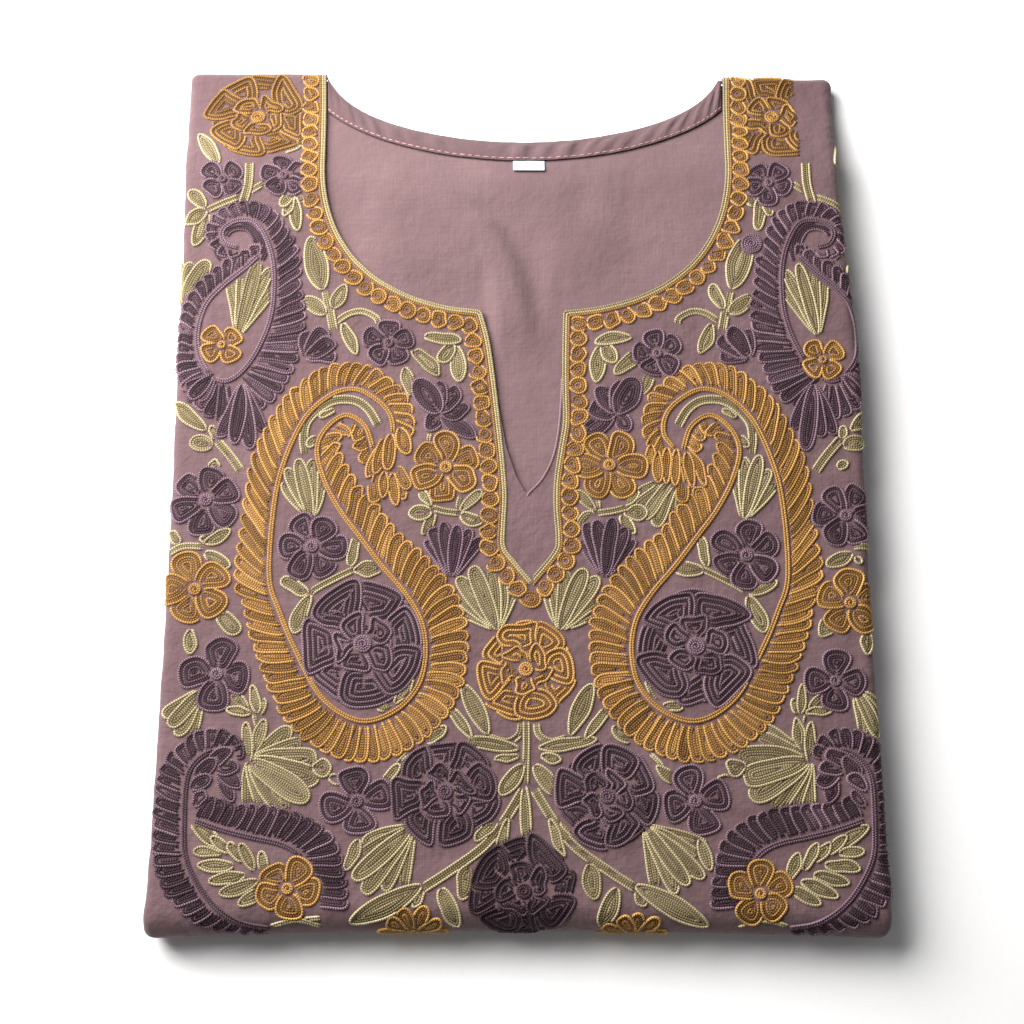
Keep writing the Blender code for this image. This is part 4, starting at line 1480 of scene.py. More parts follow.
@dataclass
class Needlework:
    """Rows of chain stitch in one colour, sewn on the front cloth as one piece."""

    name: str
    thread: Thread
    cloth: StitchMap
    seed: int = 1
    stitch: float = 2.1
    half_width: float = 0.58
    raised: float = 0.80
    unevenness: float = 0.55
    rows: list[tuple[np.ndarray, float, float]] = field(default_factory=list)

    def __post_init__(self) -> None:
        """Starts the seeded chance that tints and turns the rows."""
        self.rng = np.random.default_rng(self.seed)

    def row(
        self,
        points: np.ndarray,
        raised: float = 1.0,
        tint: float = 0.5,
        right_limit: float = NO_LIMIT,
        owner: int = 0,
        least: int = 5,
        bare: bool = True,
    ) -> None:
        """Adds a row, leaving out what would lie on another motif or past the rolled edges.

        Args:
            points: Line of the row in millimetres.
            raised: Share of the usual height.
            tint: Lightness of the thread, 0 to 1.
            right_limit: Rows end at this x.
            owner: Owner of the area that the row fills, or 0 where the row is on its own.
            least: Fewest stations of a run that is kept.
            bare: Whether the row may lie on cloth that no motif owns.
        """
        if len(points) < 3 or lengths(points)[-1] < 1.6:
            return
        line = resample(points, self.stitch / 2)
        owner = owner or self.cloth.claim_line(resample(points, 0.3))
        allowed = (np.abs(line[:, 0]) < SEWN_SIDE) & (line[:, 1] < SEWN_TOP) & (line[:, 1] > SEWN_LOW)
        allowed &= (line[:, 0] < right_limit) & self.cloth.free(line, owner, bare)
        tint = float(np.clip(tint + self.rng.normal(0, 0.07), 0, 1))
        breaks = np.flatnonzero(np.diff(np.concatenate([[False], allowed, [False]]).astype(int)))
        for start, end in zip(breaks[::2], breaks[1::2]):
            if end - start >= least:
                self.rows.append((line[start:end], raised, tint))

    def fill(
        self,
        outline: np.ndarray,
        tint: float = 0.5,
        most: int = 12,
        right_limit: float = NO_LIMIT,
        banded: float = 0.0,
        least: int = 5,
        bare: bool = True,
    ) -> None:
        """Fills a closed outline with nested rows under a raised edge row, lighter as a painted highlight,
        with the lower inner rows darker as painted shade.

        Args:
            outline: Closed outline without a repeated point.
            tint: Lightness of the thread, 0 to 1.
            most: Greatest number of rows.
            right_limit: Rows end at this x.
            banded: How far every second inner row stands out, raised and lighter as a painted highlight, 0
                to 1.
            least: Fewest stations of a row that is kept.
            bare: Whether rows may lie on cloth that no motif owns.
        """
        outline = self.wobbled(outline)
        owner = self.cloth.claim_area(outline)
        for i, line in enumerate(nested(outline, most=most)):
            # The raised edge row gets a lighter tint as a painted highlight, the low inner rows a darker one
            # as painted shade
            if i == 0:
                self.row(line, 1.35, tint + 0.22, right_limit, owner, least, bare)
                continue
            apart = banded * (0.5 - i % 2)
            raised = 0.66 + 0.12 * (i % 2) + 0.75 * apart
            self.row(line, raised, tint - 0.14 + 0.46 * apart, right_limit, owner, least, bare)

    def flat_disc(self, x: float, y: float, radius: float) -> None:
        """A small disc: a raised ring round low rows."""
        self.fill(pod((x - radius, y), 0.0, 2 * radius, 2 * radius, 2 * radius), 0.48)

    def wobbled(self, outline: np.ndarray) -> np.ndarray:
        """The outline as a hand would sew it, a little uneven."""
        middle = outline.mean(axis=0)
        share = np.linspace(0, 2 * math.pi, len(outline), endpoint=False)
        swell = np.zeros(len(outline))
        for count in range(2, 6):
            size = self.rng.normal(0, self.unevenness / count)
            swell += size * np.sin(count * share + self.rng.uniform(0, 6.3))
        away = outline - middle
        far = np.maximum(np.linalg.norm(away, axis=1, keepdims=True), 1e-6)
        return outline + away / far * np.minimum(swell[:, None], 0.3 * far)

    def leaf(self, spot: Leaf, tint: float = 0.5) -> None:
        """A single leaf."""
        way = np.array([math.cos(math.radians(spot.turn)), math.sin(math.radians(spot.turn))])
        base = np.array([spot.x, spot.y]) - way * spot.length / 2
        bend = float(self.rng.uniform(-0.06, 0.06))
        outline = pod(tuple(base), spot.turn, spot.length, spot.width * 0.92, spot.width, 1.9, bend)
        self.fill(outline, tint)

    def fan(self, spot: Fan, tint: float = 0.5) -> None:
        """A leaf cut into fingers that lie close together, the middle ones over the outer."""
        half = math.radians(spot.spread) / 2
        for i in sorted(range(spot.count), key=lambda finger: abs(finger - (spot.count - 1) / 2)):
            share = (i + 0.5) / spot.count * 2 - 1 if spot.count > 1 else 0.0
            turn = spot.turn + math.degrees(share * half) * (1 + 0.04 * self.rng.normal())
            length = spot.length * (1 - 0.26 * share**2) * (1 + 0.06 * self.rng.normal())
            wide = max(spot.width, 2.5 * half / spot.count * length)
            outline = pod((spot.x, spot.y), turn, length, 0.8 * wide, 1.2 * wide, 2.5, 0.10 * share)
            self.fill(outline, tint)

    def flower(self, spot: Flower, tint: float = 0.5) -> None:
        """A flower of round petals with a small coil in the middle."""
        self.row(coil(spot.x, spot.y, 0.15 * spot.radius + 0.5), 1.35, tint + 0.15)
        step = 360 / spot.petals
        wide = min(2 * math.sin(math.pi / spot.petals) * 0.82 * spot.radius, 1.02 * spot.radius)
        for i in self.rng.permutation(spot.petals):
            turn = spot.turn + i * step + float(self.rng.uniform(-5, 5))
            radius = spot.radius * float(self.rng.uniform(0.94, 1.08))
            base = turned(np.array([[0.06 * radius, 0.0]]), turn)[0] + (spot.x, spot.y)
            bend = float(self.rng.uniform(-0.08, 0.08))
            petal = pod(tuple(base), turn, 0.94 * radius, wide * 0.60, wide * 1.16, 2.2, bend)
            self.fill(petal, tint, banded=0.5)

    def rosette(self, spot: Rosette, tint: float = 0.5) -> None:
        """A big flower: a coil, inner and outer lobes over one another, and rows that fill the rest.

        Args:
            spot: Its place and size.
            tint: Lightness of the thread, 0 to 1.
        """
        middle = np.array([spot.x, spot.y])
        self.row(coil(spot.x, spot.y, 0.15 * spot.radius, spot.turn), 1.3, tint + 0.2, spot.right_limit)
        # Lobes, the number that their widths suit, turn of the ring, shares of the radius (place, length
        # and both widths), roundness and sweep
        rings = (
            (5, 5, 0.35, 0.10, 0.42, 0.30, 0.62, 2.3, 0.30),
            (spot.lobes, 7, 0.0, 0.34, 0.66, 0.58, 1.16, 2.7, 0.26),
        )
        for count, meant, ahead, inner, length, base, tip, roundness, sweep in rings:
            share = meant / count
            for i in self.rng.permutation(count):
                turn = spot.turn + (i + ahead) * 360 / count + float(self.rng.uniform(-9, 9))
                radius = spot.radius * float(self.rng.uniform(0.94, 1.04))
                start = turned(np.array([[inner * radius, 0.0]]), turn)[0] + middle
                bend = float(self.rng.uniform(-sweep, sweep))
                widths = (base * radius * share, tip * radius * share)
                self.fill(
                    pod(tuple(start), turn, length * radius, *widths, roundness, bend),
                    tint,
                    right_limit=spot.right_limit,
                    banded=1.0,
                )
        reach = 0.94 * spot.radius
        rest = pod(tuple(middle - (reach, 0)), 0.0, 2 * reach, 2 * reach, 2 * reach)
        self.fill(rest, tint - 0.08, most=24, right_limit=spot.right_limit, least=3)

    def stem(self, spot: Stem, tint: float = 0.5) -> None:
        """Side by side rows along a stem, the raised outer rows lighter as a painted highlight and the low
        inner ones darker as painted shade.
        """
        line = curve(spot.places)
        ways = headings(line)
        for i in range(spot.rows):
            shift = (i - (spot.rows - 1) / 2) * GAP * 0.95
            moved = line + shift * np.stack([ways[:, 1], -ways[:, 0]], axis=-1)
            outer = i in (0, spot.rows - 1)
            # Outer rows lighter as a painted highlight, inner rows darker as painted shade
            self.row(moved, 1.15 if outer else 0.7, tint + (0.16 if outer else -0.16))

    def plume(
        self, rail: Iterable[RailPoint], side: int, pitch: float, bend: float, tint: float = 0.5
    ) -> None:
        """Feathers along a rail of two rows.

        Args:
            rail: Places along the inner edge.
            side: 1 puts the feathers on the right of the rail's heading, -1 on the left.
            pitch: Distance between feathers.
            bend: Sweep of each tip.
            tint: Lightness of the thread, 0 to 1.
        """
        rail = list(rail)
        line = curve([(place.x, place.y) for place in rail])
        ways = headings(line)
        for shift in (-0.6, 0.5):
            moved = line - side * shift * np.stack([ways[:, 1], -ways[:, 0]], axis=-1)
            self.row(moved, 1.25, tint + 0.12)
        outlines, band = plume(rail, side, pitch, bend)
        for outline in outlines:
            self.fill(outline, tint + float(self.rng.normal(0, 0.06)), most=4)
        self.fill(band, tint - 0.30, most=24, least=3, bare=False)

    def sew(self) -> bpy.types.Object:
        """Turns the rows into raised cords on the cloth and dresses them.

        Returns:
            The piece.
        """
        stations = np.vstack([line for line, _, _ in self.rows])
        counts = np.array([len(line) for line, _, _ in self.rows])
        starts = np.concatenate([[0], np.cumsum(counts)[:-1]])
        own = np.repeat(np.arange(len(counts)), counts)
        index = np.arange(len(stations)) - starts[own]
        ways = np.vstack([headings(line) for line, _, _ in self.rows])
        raised = np.array([item[1] for item in self.rows])[own]
        tint = np.array([item[2] for item in self.rows])[own]
        belly = index % 2 == 1
        end = (index == 0) | (index == counts[own] - 1)
        uneven = self.rng.normal(1.0, 0.06, len(stations))
        thick = self.half_width * (0.86 + 0.16 * np.clip(raised, 0.6, 1.4))
        half = thick * np.where(belly, 1.04, 0.90) * np.where(end, 0.02, 1.0)
        height = np.where(belly, 1.0, 0.80) * self.raised * raised * uneven
        height = np.where(end, 0.15, height)

        point, across, along, normal = PACKET.frames(stations[:, 0] * MM, stations[:, 1] * MM)
        sideways = -ways[:, 1:2] * across + ways[:, 0:1] * along
        reach = np.array([1.0, 0.66, 0.0, -0.66, -1.0, 1.0])
        lift = np.array([0.0, 0.76, 1.0, 0.76, 0.0, 0.0])
        sunk = np.array([-0.2, 0.0, 0.0, 0.0, -0.2, -0.2])
        offset = (half[:, None] * reach)[..., None] * sideways[:, None]
        rise = (height[:, None] * lift + np.where(end[:, None], -0.1, sunk))[..., None] * normal[:, None]
        points = point[:, None] + (offset + rise) * MM

        bm = bmesh.new()
        bmesh.ops.create_grid(bm, x_segments=5, y_segments=len(stations) - 1, size=1.0, calc_uvs=True)
        mesh = bpy.data.meshes.new(self.name)
        bm.to_mesh(mesh)
        bm.free()
        mesh.vertices.foreach_set("co", points.astype(np.float32).ravel())
        corners = np.empty(len(mesh.loops), np.int32)
        mesh.loops.foreach_get("vertex_index", corners)
        station, column = corners // 6, corners % 6
        chain = np.stack([index[station] + 0.5, np.minimum(column, 4) / 4], axis=-1)
        layer = mesh.uv_layers[0] if mesh.uv_layers else mesh.uv_layers.new()
        layer.name = "stitch"
        layer.data.foreach_set("uv", chain.astype(np.float32).ravel())
        values = mesh.attributes.new("tint", "FLOAT", "POINT")
        values.data.foreach_set("value", np.repeat(tint, 6).astype(np.float32))
        bm = bmesh.new()
        bm.from_mesh(mesh)
        bm.faces.ensure_lookup_table()
        between = np.flatnonzero(own[1:] != own[:-1])
        spare = [bm.faces[int(i) * 5 + j] for i in between for j in range(5)]
        bmesh.ops.delete(bm, geom=spare, context="FACES")
        bmesh.ops.remove_doubles(bm, verts=bm.verts, dist=2e-6)
        bm.to_mesh(mesh)
        bm.free()
        shade(mesh, 180)
        piece = new_piece(self.name, mesh)
        give(piece, self.thread.value.make())
        return piece


GOLD_RAIL = (
    RailPoint(-64, -6, 15, -78),
    RailPoint(-61, 7, 14, -66),
    RailPoint(-55, 16, 11, -55),
    RailPoint(-56, 25, 12, -45),
    RailPoint(-62, 32, 13, -35),
    RailPoint(-72, 37, 13, -25),
    RailPoint(-83, 34, 15, -30),
    RailPoint(-94, 23, 17, -45),
    RailPoint(-102, 4, 21, -52),
    RailPoint(-106, -16, 23, -54),
    RailPoint(-107, -48, 20, -48),
    RailPoint(-102, -64, 18, -38),
    RailPoint(-95, -80, 18, -25),
    RailPoint(-83, -101, 19, -12),
    RailPoint(-67, -111, 18, 0),
    RailPoint(-52, -107, 18, 8),
    RailPoint(-42, -96, 18, 10),
    RailPoint(-39, -82, 19, 15),
    RailPoint(-41, -68, 20, 25),
    RailPoint(-48, -56, 20, 35),
    RailPoint(-59, -43, 19, 40),
    RailPoint(-68, -31, 19, 42),
    RailPoint(-77, -19, 18, 45),
    RailPoint(-84, -6, 16, 45),
    RailPoint(-88, 8, 13, 40),
    RailPoint(-85, 18, 11, 25),
    RailPoint(-76, 25, 10, 12),
    RailPoint(-67, 20, 9, 22),
    RailPoint(-63, 9, 9, 50),
)
GOLD_PODS = (
    Leaf(-56, 8, 18, 7, -95),
    Leaf(-60, 6, 18, 6.5, -101),
    Leaf(-63, 3, 16, 5.5, -105),
    Leaf(-50, 13, 14, 7.5, -77),
    Leaf(-58, -7, 13, 5.5, -93),
    Leaf(-54, -9, 16, 6, -89),
    Leaf(-50, -4, 13, 6.5, -65),
    Leaf(-51, -8, 13, 6, -70),
)
GOLD_PODS_RIGHT = (
    Leaf(62, 1, 16, 5.5, -93),
    Leaf(66, 2, 18, 5.5, -95),
    Leaf(70, 1, 18, 5.5, -93),
    Leaf(76, -0, 18, 5.5, -84),
    Leaf(80, 1, 19, 5.5, -65),
    Leaf(59, 6, 12, 5.5, -97),
)
UPPER_PLUM_RAIL = (
    RailPoint(-126, 105, 5, -20),
    RailPoint(-132, 107, 7, -25),
    RailPoint(-134, 113, 8, -25),
    RailPoint(-128, 118, 9, -25),
    RailPoint(-119, 117, 11, -30),
    RailPoint(-113, 107, 13, -38),
    RailPoint(-110, 94, 15, -42),
    RailPoint(-110, 76, 16, -42),
    RailPoint(-113, 63, 19, -35),
    RailPoint(-118, 52, 20, -25),
    RailPoint(-124, 44, 21, -15),
    RailPoint(-131, 41, 18, -5),
    RailPoint(-138, 46, 14, 10),
    RailPoint(-142, 54, 11, 25),
    RailPoint(-143, 65, 11, 35),
    RailPoint(-140, 77, 12, 40),
    RailPoint(-133, 86, 12, 40),
    RailPoint(-124, 94, 10, 40),
    RailPoint(-117, 101, 7, 40),
)
LOWER_PLUM_RAIL = (
    RailPoint(-120, -127, 6, -60),
    RailPoint(-124, -124, 9, -45),
    RailPoint(-131, -125, 11, -30),
    RailPoint(-137, -131, 12, -25),
    RailPoint(-139, -139, 13, -25),
    RailPoint(-139, -154, 14, -25),
    RailPoint(-138, -167, 14, -20),
    RailPoint(-133, -178, 14, -15),
    RailPoint(-125, -188, 12, -20),
    RailPoint(-114, -195, 8, -30),
    RailPoint(-102, -198, 5, -40),
)
PLUM_ARM_RAIL = (
    RailPoint(-135, -153, 12, 5),
    RailPoint(-123, -157, 13, 8),
    RailPoint(-111, -160, 15, 12),
    RailPoint(-98, -163, 16, 15),
    RailPoint(-90, -168, 17, 20),
    RailPoint(-86, -177, 16, 20),
    RailPoint(-83, -188, 14, 15),
)
PLUM_ROSETTES = (
    Rosette(-66, -78, 26.5, 7, 20),
    Rosette(77, -79, 26, 7, 65),
    Rosette(-30, -141, 22.5, 8, 10),
    Rosette(38, -143, 21.5, 8, 35),
    Rosette(3, -182, 22, 8, 5),
)
GOLD_ROSETTES = (
    Rosette(4, -89, 21.5, 8, 15),
    Rosette(-121, 175, 24, 8, 30),
    Rosette(120, 175, 24, 8, 50, right_limit=132.0),
)
PLUM_FLOWERS = (
    Flower(-135, 139, 11, 4, 45),
    Flower(-107, 141, 11.5, 5, 20),
    Flower(-57, 59, 12, 5, 15),
    Flower(-136, -14, 16, 6, 20),
    Flower(-89, -35, 16, 6, 0),
    Flower(-128, -91, 15.5, 4, 80),
    Flower(-67, -145, 15, 4, 10),
)
PLUM_FLOWERS_RIGHT = (
    Flower(116, 137, 11.5, 5, 50),
    Flower(63, 54, 12, 5, 30),
    Flower(100, -39, 16, 6, 25),
    Flower(144, -21, 15, 6, 0),
    Flower(136, -94, 13.5, 4, 85),
    Flower(75, -145, 15, 4, 15),
)
GOLD_FLOWERS = (
    Flower(-132, 58, 10.5, 4, 40),
    Flower(-31, 1, 16, 6, 25),
    Flower(-139, -54, 16, 5, 35),
    Flower(-95, -181, 13.5, 5, 60),
    Flower(-43, -203, 15, 10, 0),
)
GOLD_FLOWERS_RIGHT = (
    Flower(137, 51, 10.5, 4, 35),
    Flower(41, 2, 16, 6, 0),
    Flower(144, -60, 15, 5, 20),
    Flower(101, -183, 13.5, 5, 20),
    Flower(49, -205, 15, 10, 10),
)
PLUM_LEAVES = (
    Leaf(-39, 34, 20, 13, 123),
    Leaf(-34, 34, 15, 8, 94),
    Leaf(-30, 32, 16, 10, 54),
    Leaf(-28, 27, 15, 10, 9),
    Leaf(-26, 20, 20, 9, -39),
    Leaf(-37, 22, 10, 9, -126),
    Leaf(-133, -137, 11, 7, 36),
    Leaf(-131, -131, 12, 7.5, 42),
    Leaf(-126, -127, 14, 8, 25),
    Leaf(-123, -131, 13, 8, -5),
    Leaf(-121, -135, 14, 8, -35),
    Leaf(-122, -140, 13, 7, -65),
    Leaf(-133, -144, 9, 6, 49),
)
PLUM_FANS = (
    Fan(-94, 52, 46, 16, 96, 4, 8),
    Fan(-28, -49, 91, 27, 74, 6, 6),
    Fan(-122, 40, -88, 31, 46, 4, 7),
    Fan(-135, 44, -132, 15, 44, 3, 6),
)
PLUM_CURLS = (
    Stem(
        7,
        (
            (-118, 99), (-116, 107), (-120, 115), (-126, 117),
            (-132, 115), (-135, 109), (-133, 102), (-127, 100),
        ),
    ),
)
SAGE_LEAVES = (
    Leaf(-142, 156, 21, 7.5, 118),
    Leaf(-103, 158, 12, 7, 45),
    Leaf(-146, 129, 12, 7.5, 133),
    Leaf(-146, 120, 12, 8, -141),
    Leaf(-144, 114, 17, 8, -115),
    Leaf(-105, 129, 10, 6, -125),
    Leaf(-104, 126, 13, 5.5, -108),
    Leaf(-101, 122, 19, 6.5, -83),
    Leaf(-99, 129, 10, 9, -45),
    Leaf(-91, 97, 27, 12, 108),
    Leaf(-80, 81, 14, 7, 66),
    Leaf(-91, 77, 15, 8, 146),
    Leaf(-75, 61, 17, 6.5, -69),
    Leaf(-40, 50, 18, 7.5, -44),
    Leaf(-48, 41, 15, 6.5, -74),
    Leaf(-33, 61, 18, 6.5, -7),
    Leaf(-31, 54, 11, 8, -123),
    Leaf(-26, 49, 18, 8, -84),
    Leaf(-105, 42, 20, 6.5, 57),
    Leaf(-145, 24, 20, 8, 142),
    Leaf(-139, 12, 12, 8, 164),
    Leaf(-134, 17, 7, 5, 104),
    Leaf(-133, 2, 6, 5.5, 146),
    Leaf(-84, 26, 8, 4.5, -155),
    Leaf(-90, 13, 8, 5, -134),
    Leaf(-40, -13, 10, 5, 131),
    Leaf(-42, -20, 11, 8, -166),
    Leaf(-38, -25, 12, 5, -114),
    Leaf(-20, -14, 14, 5.5, 50),
    Leaf(-20, -23, 10, 8, -29),
    Leaf(-130, -31, 14, 6, 26),
    Leaf(-130, -41, 14, 7, -31),
    Leaf(-136, -32, 5, 4, 88),
    Leaf(-149, -31, 8, 6, 125),
    Leaf(-138, -41, 5, 4, -105),
    Leaf(-71, -37, 15, 6, 78),
    Leaf(-64, -45, 14, 8, 6),
    Leaf(-96, -53, 15, 7, 155),
    Leaf(-93, -65, 19, 8, -112),
    Leaf(-140, -77, 12, 6.5, -87),
    Leaf(-124, -69, 14, 9, -46),
    Leaf(-118, -107, 12, 5, 171),
    Leaf(-118, -103, 13, 6, 139),
    Leaf(-111, -102, 14, 5, 98),
    Leaf(-108, -105, 8, 4.5, 75),
    Leaf(-114, -120, 18, 5.5, 100),
    Leaf(-109, -117, 15, 6, 80),
    Leaf(-82, -131, 9, 8.5, 0),
    Leaf(-76, -136, 8, 5, -21),
    Leaf(-53, -134, 13, 5, 46),
    Leaf(-34, -117, 11, 6.5, 41),
    Leaf(-17, -106, 25, 8.5, 114),
    Leaf(-24, -111, 20, 5.5, 124),
    Leaf(-11, -121, 26, 6.5, 171),
    Leaf(-4, -127, 11, 4.5, -167),
    Leaf(-2, -136, 17, 8, -128),
    Leaf(-48, -98, 15, 5.5, 57),
    Leaf(-56, -105, 10, 5, -177),
    Leaf(-68, -167, 15, 6, -108),
    Leaf(-54, -188, 35, 10, -151),
    Leaf(-41, -185, 9, 5, -123),
    Leaf(-28, -189, 19, 8.5, -68),
    Leaf(-21, -178, 16, 8.5, -99),
    Leaf(-13, -157, 13, 6, -143),
    Leaf(-6, -160, 18, 5, -107),
    Leaf(-105, -172, 14, 5.5, 112),
    Leaf(-112, -168, 14, 5.5, 116),
    Leaf(-117, -166, 11, 5.5, 126),
    Leaf(-123, -163, 12, 5.5, 138),
    Leaf(-109, -184, 15, 6.5, -152),
    Leaf(-115, -181, 18, 6.5, -159),
    Leaf(-120, -177, 16, 6.5, -166),
    Leaf(-125, -172, 16, 6.5, -175),
    Leaf(-129, -166, 12, 5.5, 172),
    Leaf(-128, -160, 21, 7, 144),
)
SAGE_FANS = (
    Fan(-151, 78, 71, 24, 62, 4, 7),
    Fan(-125, 62, 78, 38, 40, 5, 6),
    Fan(-89, -23, 105, 29, 50, 5, 6.5),
    Fan(-134, -98, -123, 24, 46, 4, 7),
    Fan(-113, -128, -24, 30, 128, 8, 5.6),
    Fan(-8, -72, 112, 29, 84, 7, 5.6),
    Fan(-43, -155, -132, 33, 62, 6, 6.2),
)
PLUM_COIL_RIGHT = (107, 107, 5)
SAGE_FAN_RIGHT = Fan(70, -3, -120, 26, 76, 6, 5.5)
SAGE_STEMS = (
    Stem(4, ((-123, 148), (-123, 137), (-125, 127))),
    Stem(3, ((-142, 123), (-134, 127), (-125, 131), (-114, 138))),
    Stem(4, ((-86, 84), (-84, 75), (-82, 65))),
    Stem(3, ((-81, 69), (-75, 73), (-69, 74), (-63, 71), (-62, 68))),
    Stem(4, ((-137, 19), (-132, 13), (-126, 6), (-121, -1))),
    Stem(4, ((-93, 7), (-94, 15), (-92, 23), (-83, 31), (-73, 32), (-66, 28), (-61, 20))),
    Stem(3, ((-39, -17), (-32, -19), (-25, -20))),
    Stem(3, ((-25, -20), (-25, -16), (-24, -12))),
    Stem(3, ((-151, -38), (-145, -35), (-136, -35))),
    Stem(3, ((-70, -45), (-78, -49), (-87, -54), (-91, -58))),
    Stem(3, ((-111, -108), (-110, -112), (-109, -116))),
    Stem(2, ((-55, -136), (-50, -129), (-46, -125))),
    Stem(3, ((2, -112), (1, -117), (-4, -120), (-12, -118))),
    Stem(4, ((-39, -181), (-28, -174), (-14, -164), (-5, -153), (3, -140))),
    Stem(2, ((-107, -199), (-92, -194), (-81, -197))),
    Stem(2, ((-92, -194), (-81, -193))),
    Stem(2, ((-38, 19), (-39, 12))),
)
CENTRE_STEM = Stem(3, ((4, -109), (4.2, -120), (3.6, -138)))
CENTRE_LEAF = Leaf(3.4, -152, 30, 5.6, -90)


@dataclass
class NeckBorder:
    """The worked edge of the front neck: pale cords, a gold chain and coiled scallops."""

    cords: tuple[float, ...] = (0.7, 1.8)
    chains: tuple[float, ...] = (2.9,)
    scallop_radius: float = 4.15
    scallop_reach: float = 7.4
    pitch: float = 7.4
    slit_left: tuple[tuple[float, float], ...] = (
        (-12, 61), (-9.4, 43), (-7, 22), (-5, 3), (-4, -12),
        (-4.6, -26), (-4.6, -35), (-0.5, -41), (6, -49), (7.6, -51),
    )
    slit_right: tuple[tuple[float, float], ...] = (
        (20.4, 57), (20.2, 37), (20.4, 22), (18.5, 10), (16.3, -5),
        (16, -18), (16.8, -31), (15.6, -37), (6, -49), (4.6, -51),
    )

    def path(self, right: bool) -> np.ndarray:
        """The worked edge from the shoulder to the lowest point, in millimetres."""
        side = NECK.side(right, 0.1995) / MM
        scoop = side[side[:, 1] > float(NECK.scoop_y(np.array(NECK.centre_x + 0.017))) / MM + 1.5]
        corner = side[-len(NECK.slit) - 1]
        lower = np.array(self.slit_right if right else self.slit_left, float)
        lower = resample(curve([tuple(corner), *lower]), 1.0)
        return np.vstack([resample(np.vstack([scoop, corner]), 1.0), lower[1:]])

    def draw(self, slit_highlight: Needlework, cords: Needlework, gold: Needlework) -> None:
        """Draws the cords, the scallops and a raised row along the right edge of the slit: a rolled edge,
        its light colour a painted highlight on the edge that faces the lamp.
        """
        for right, side in ((False, 1), (True, -1)):
            edge = self.path(right)
            for distance in self.cords:
                cords.row(beside(edge, distance, side), 1.1, 0.62)
            for distance in self.chains:
                gold.row(beside(edge, distance, side), 1.0, 0.5)
            middle = beside(edge, self.scallop_reach, side)
            along = lengths(middle)
            count = round(along[-1] / self.pitch)
            for mark in np.linspace(0.5 * self.pitch, along[-1] - 0.3 * self.pitch, count):
                x = float(np.interp(mark, along, middle[:, 0]))
                y = float(np.interp(mark, along, middle[:, 1]))
                gold.flat_disc(x, y, self.scallop_radius * float(gold.rng.uniform(0.95, 1.06)))
        gold.flat_disc(6.0, -58.0, 4.8)
        slit = NECK.side(True, 0.1995)[-len(NECK.slit) - 1 :] / MM
        # Only the right slit edge gets this lighter row: a rolled edge, its light colour a painted highlight
        slit_highlight.row(beside(curve([*map(tuple, slit), (4.2, -12.2)]), 0.40, -1), 0.8, 0.6)


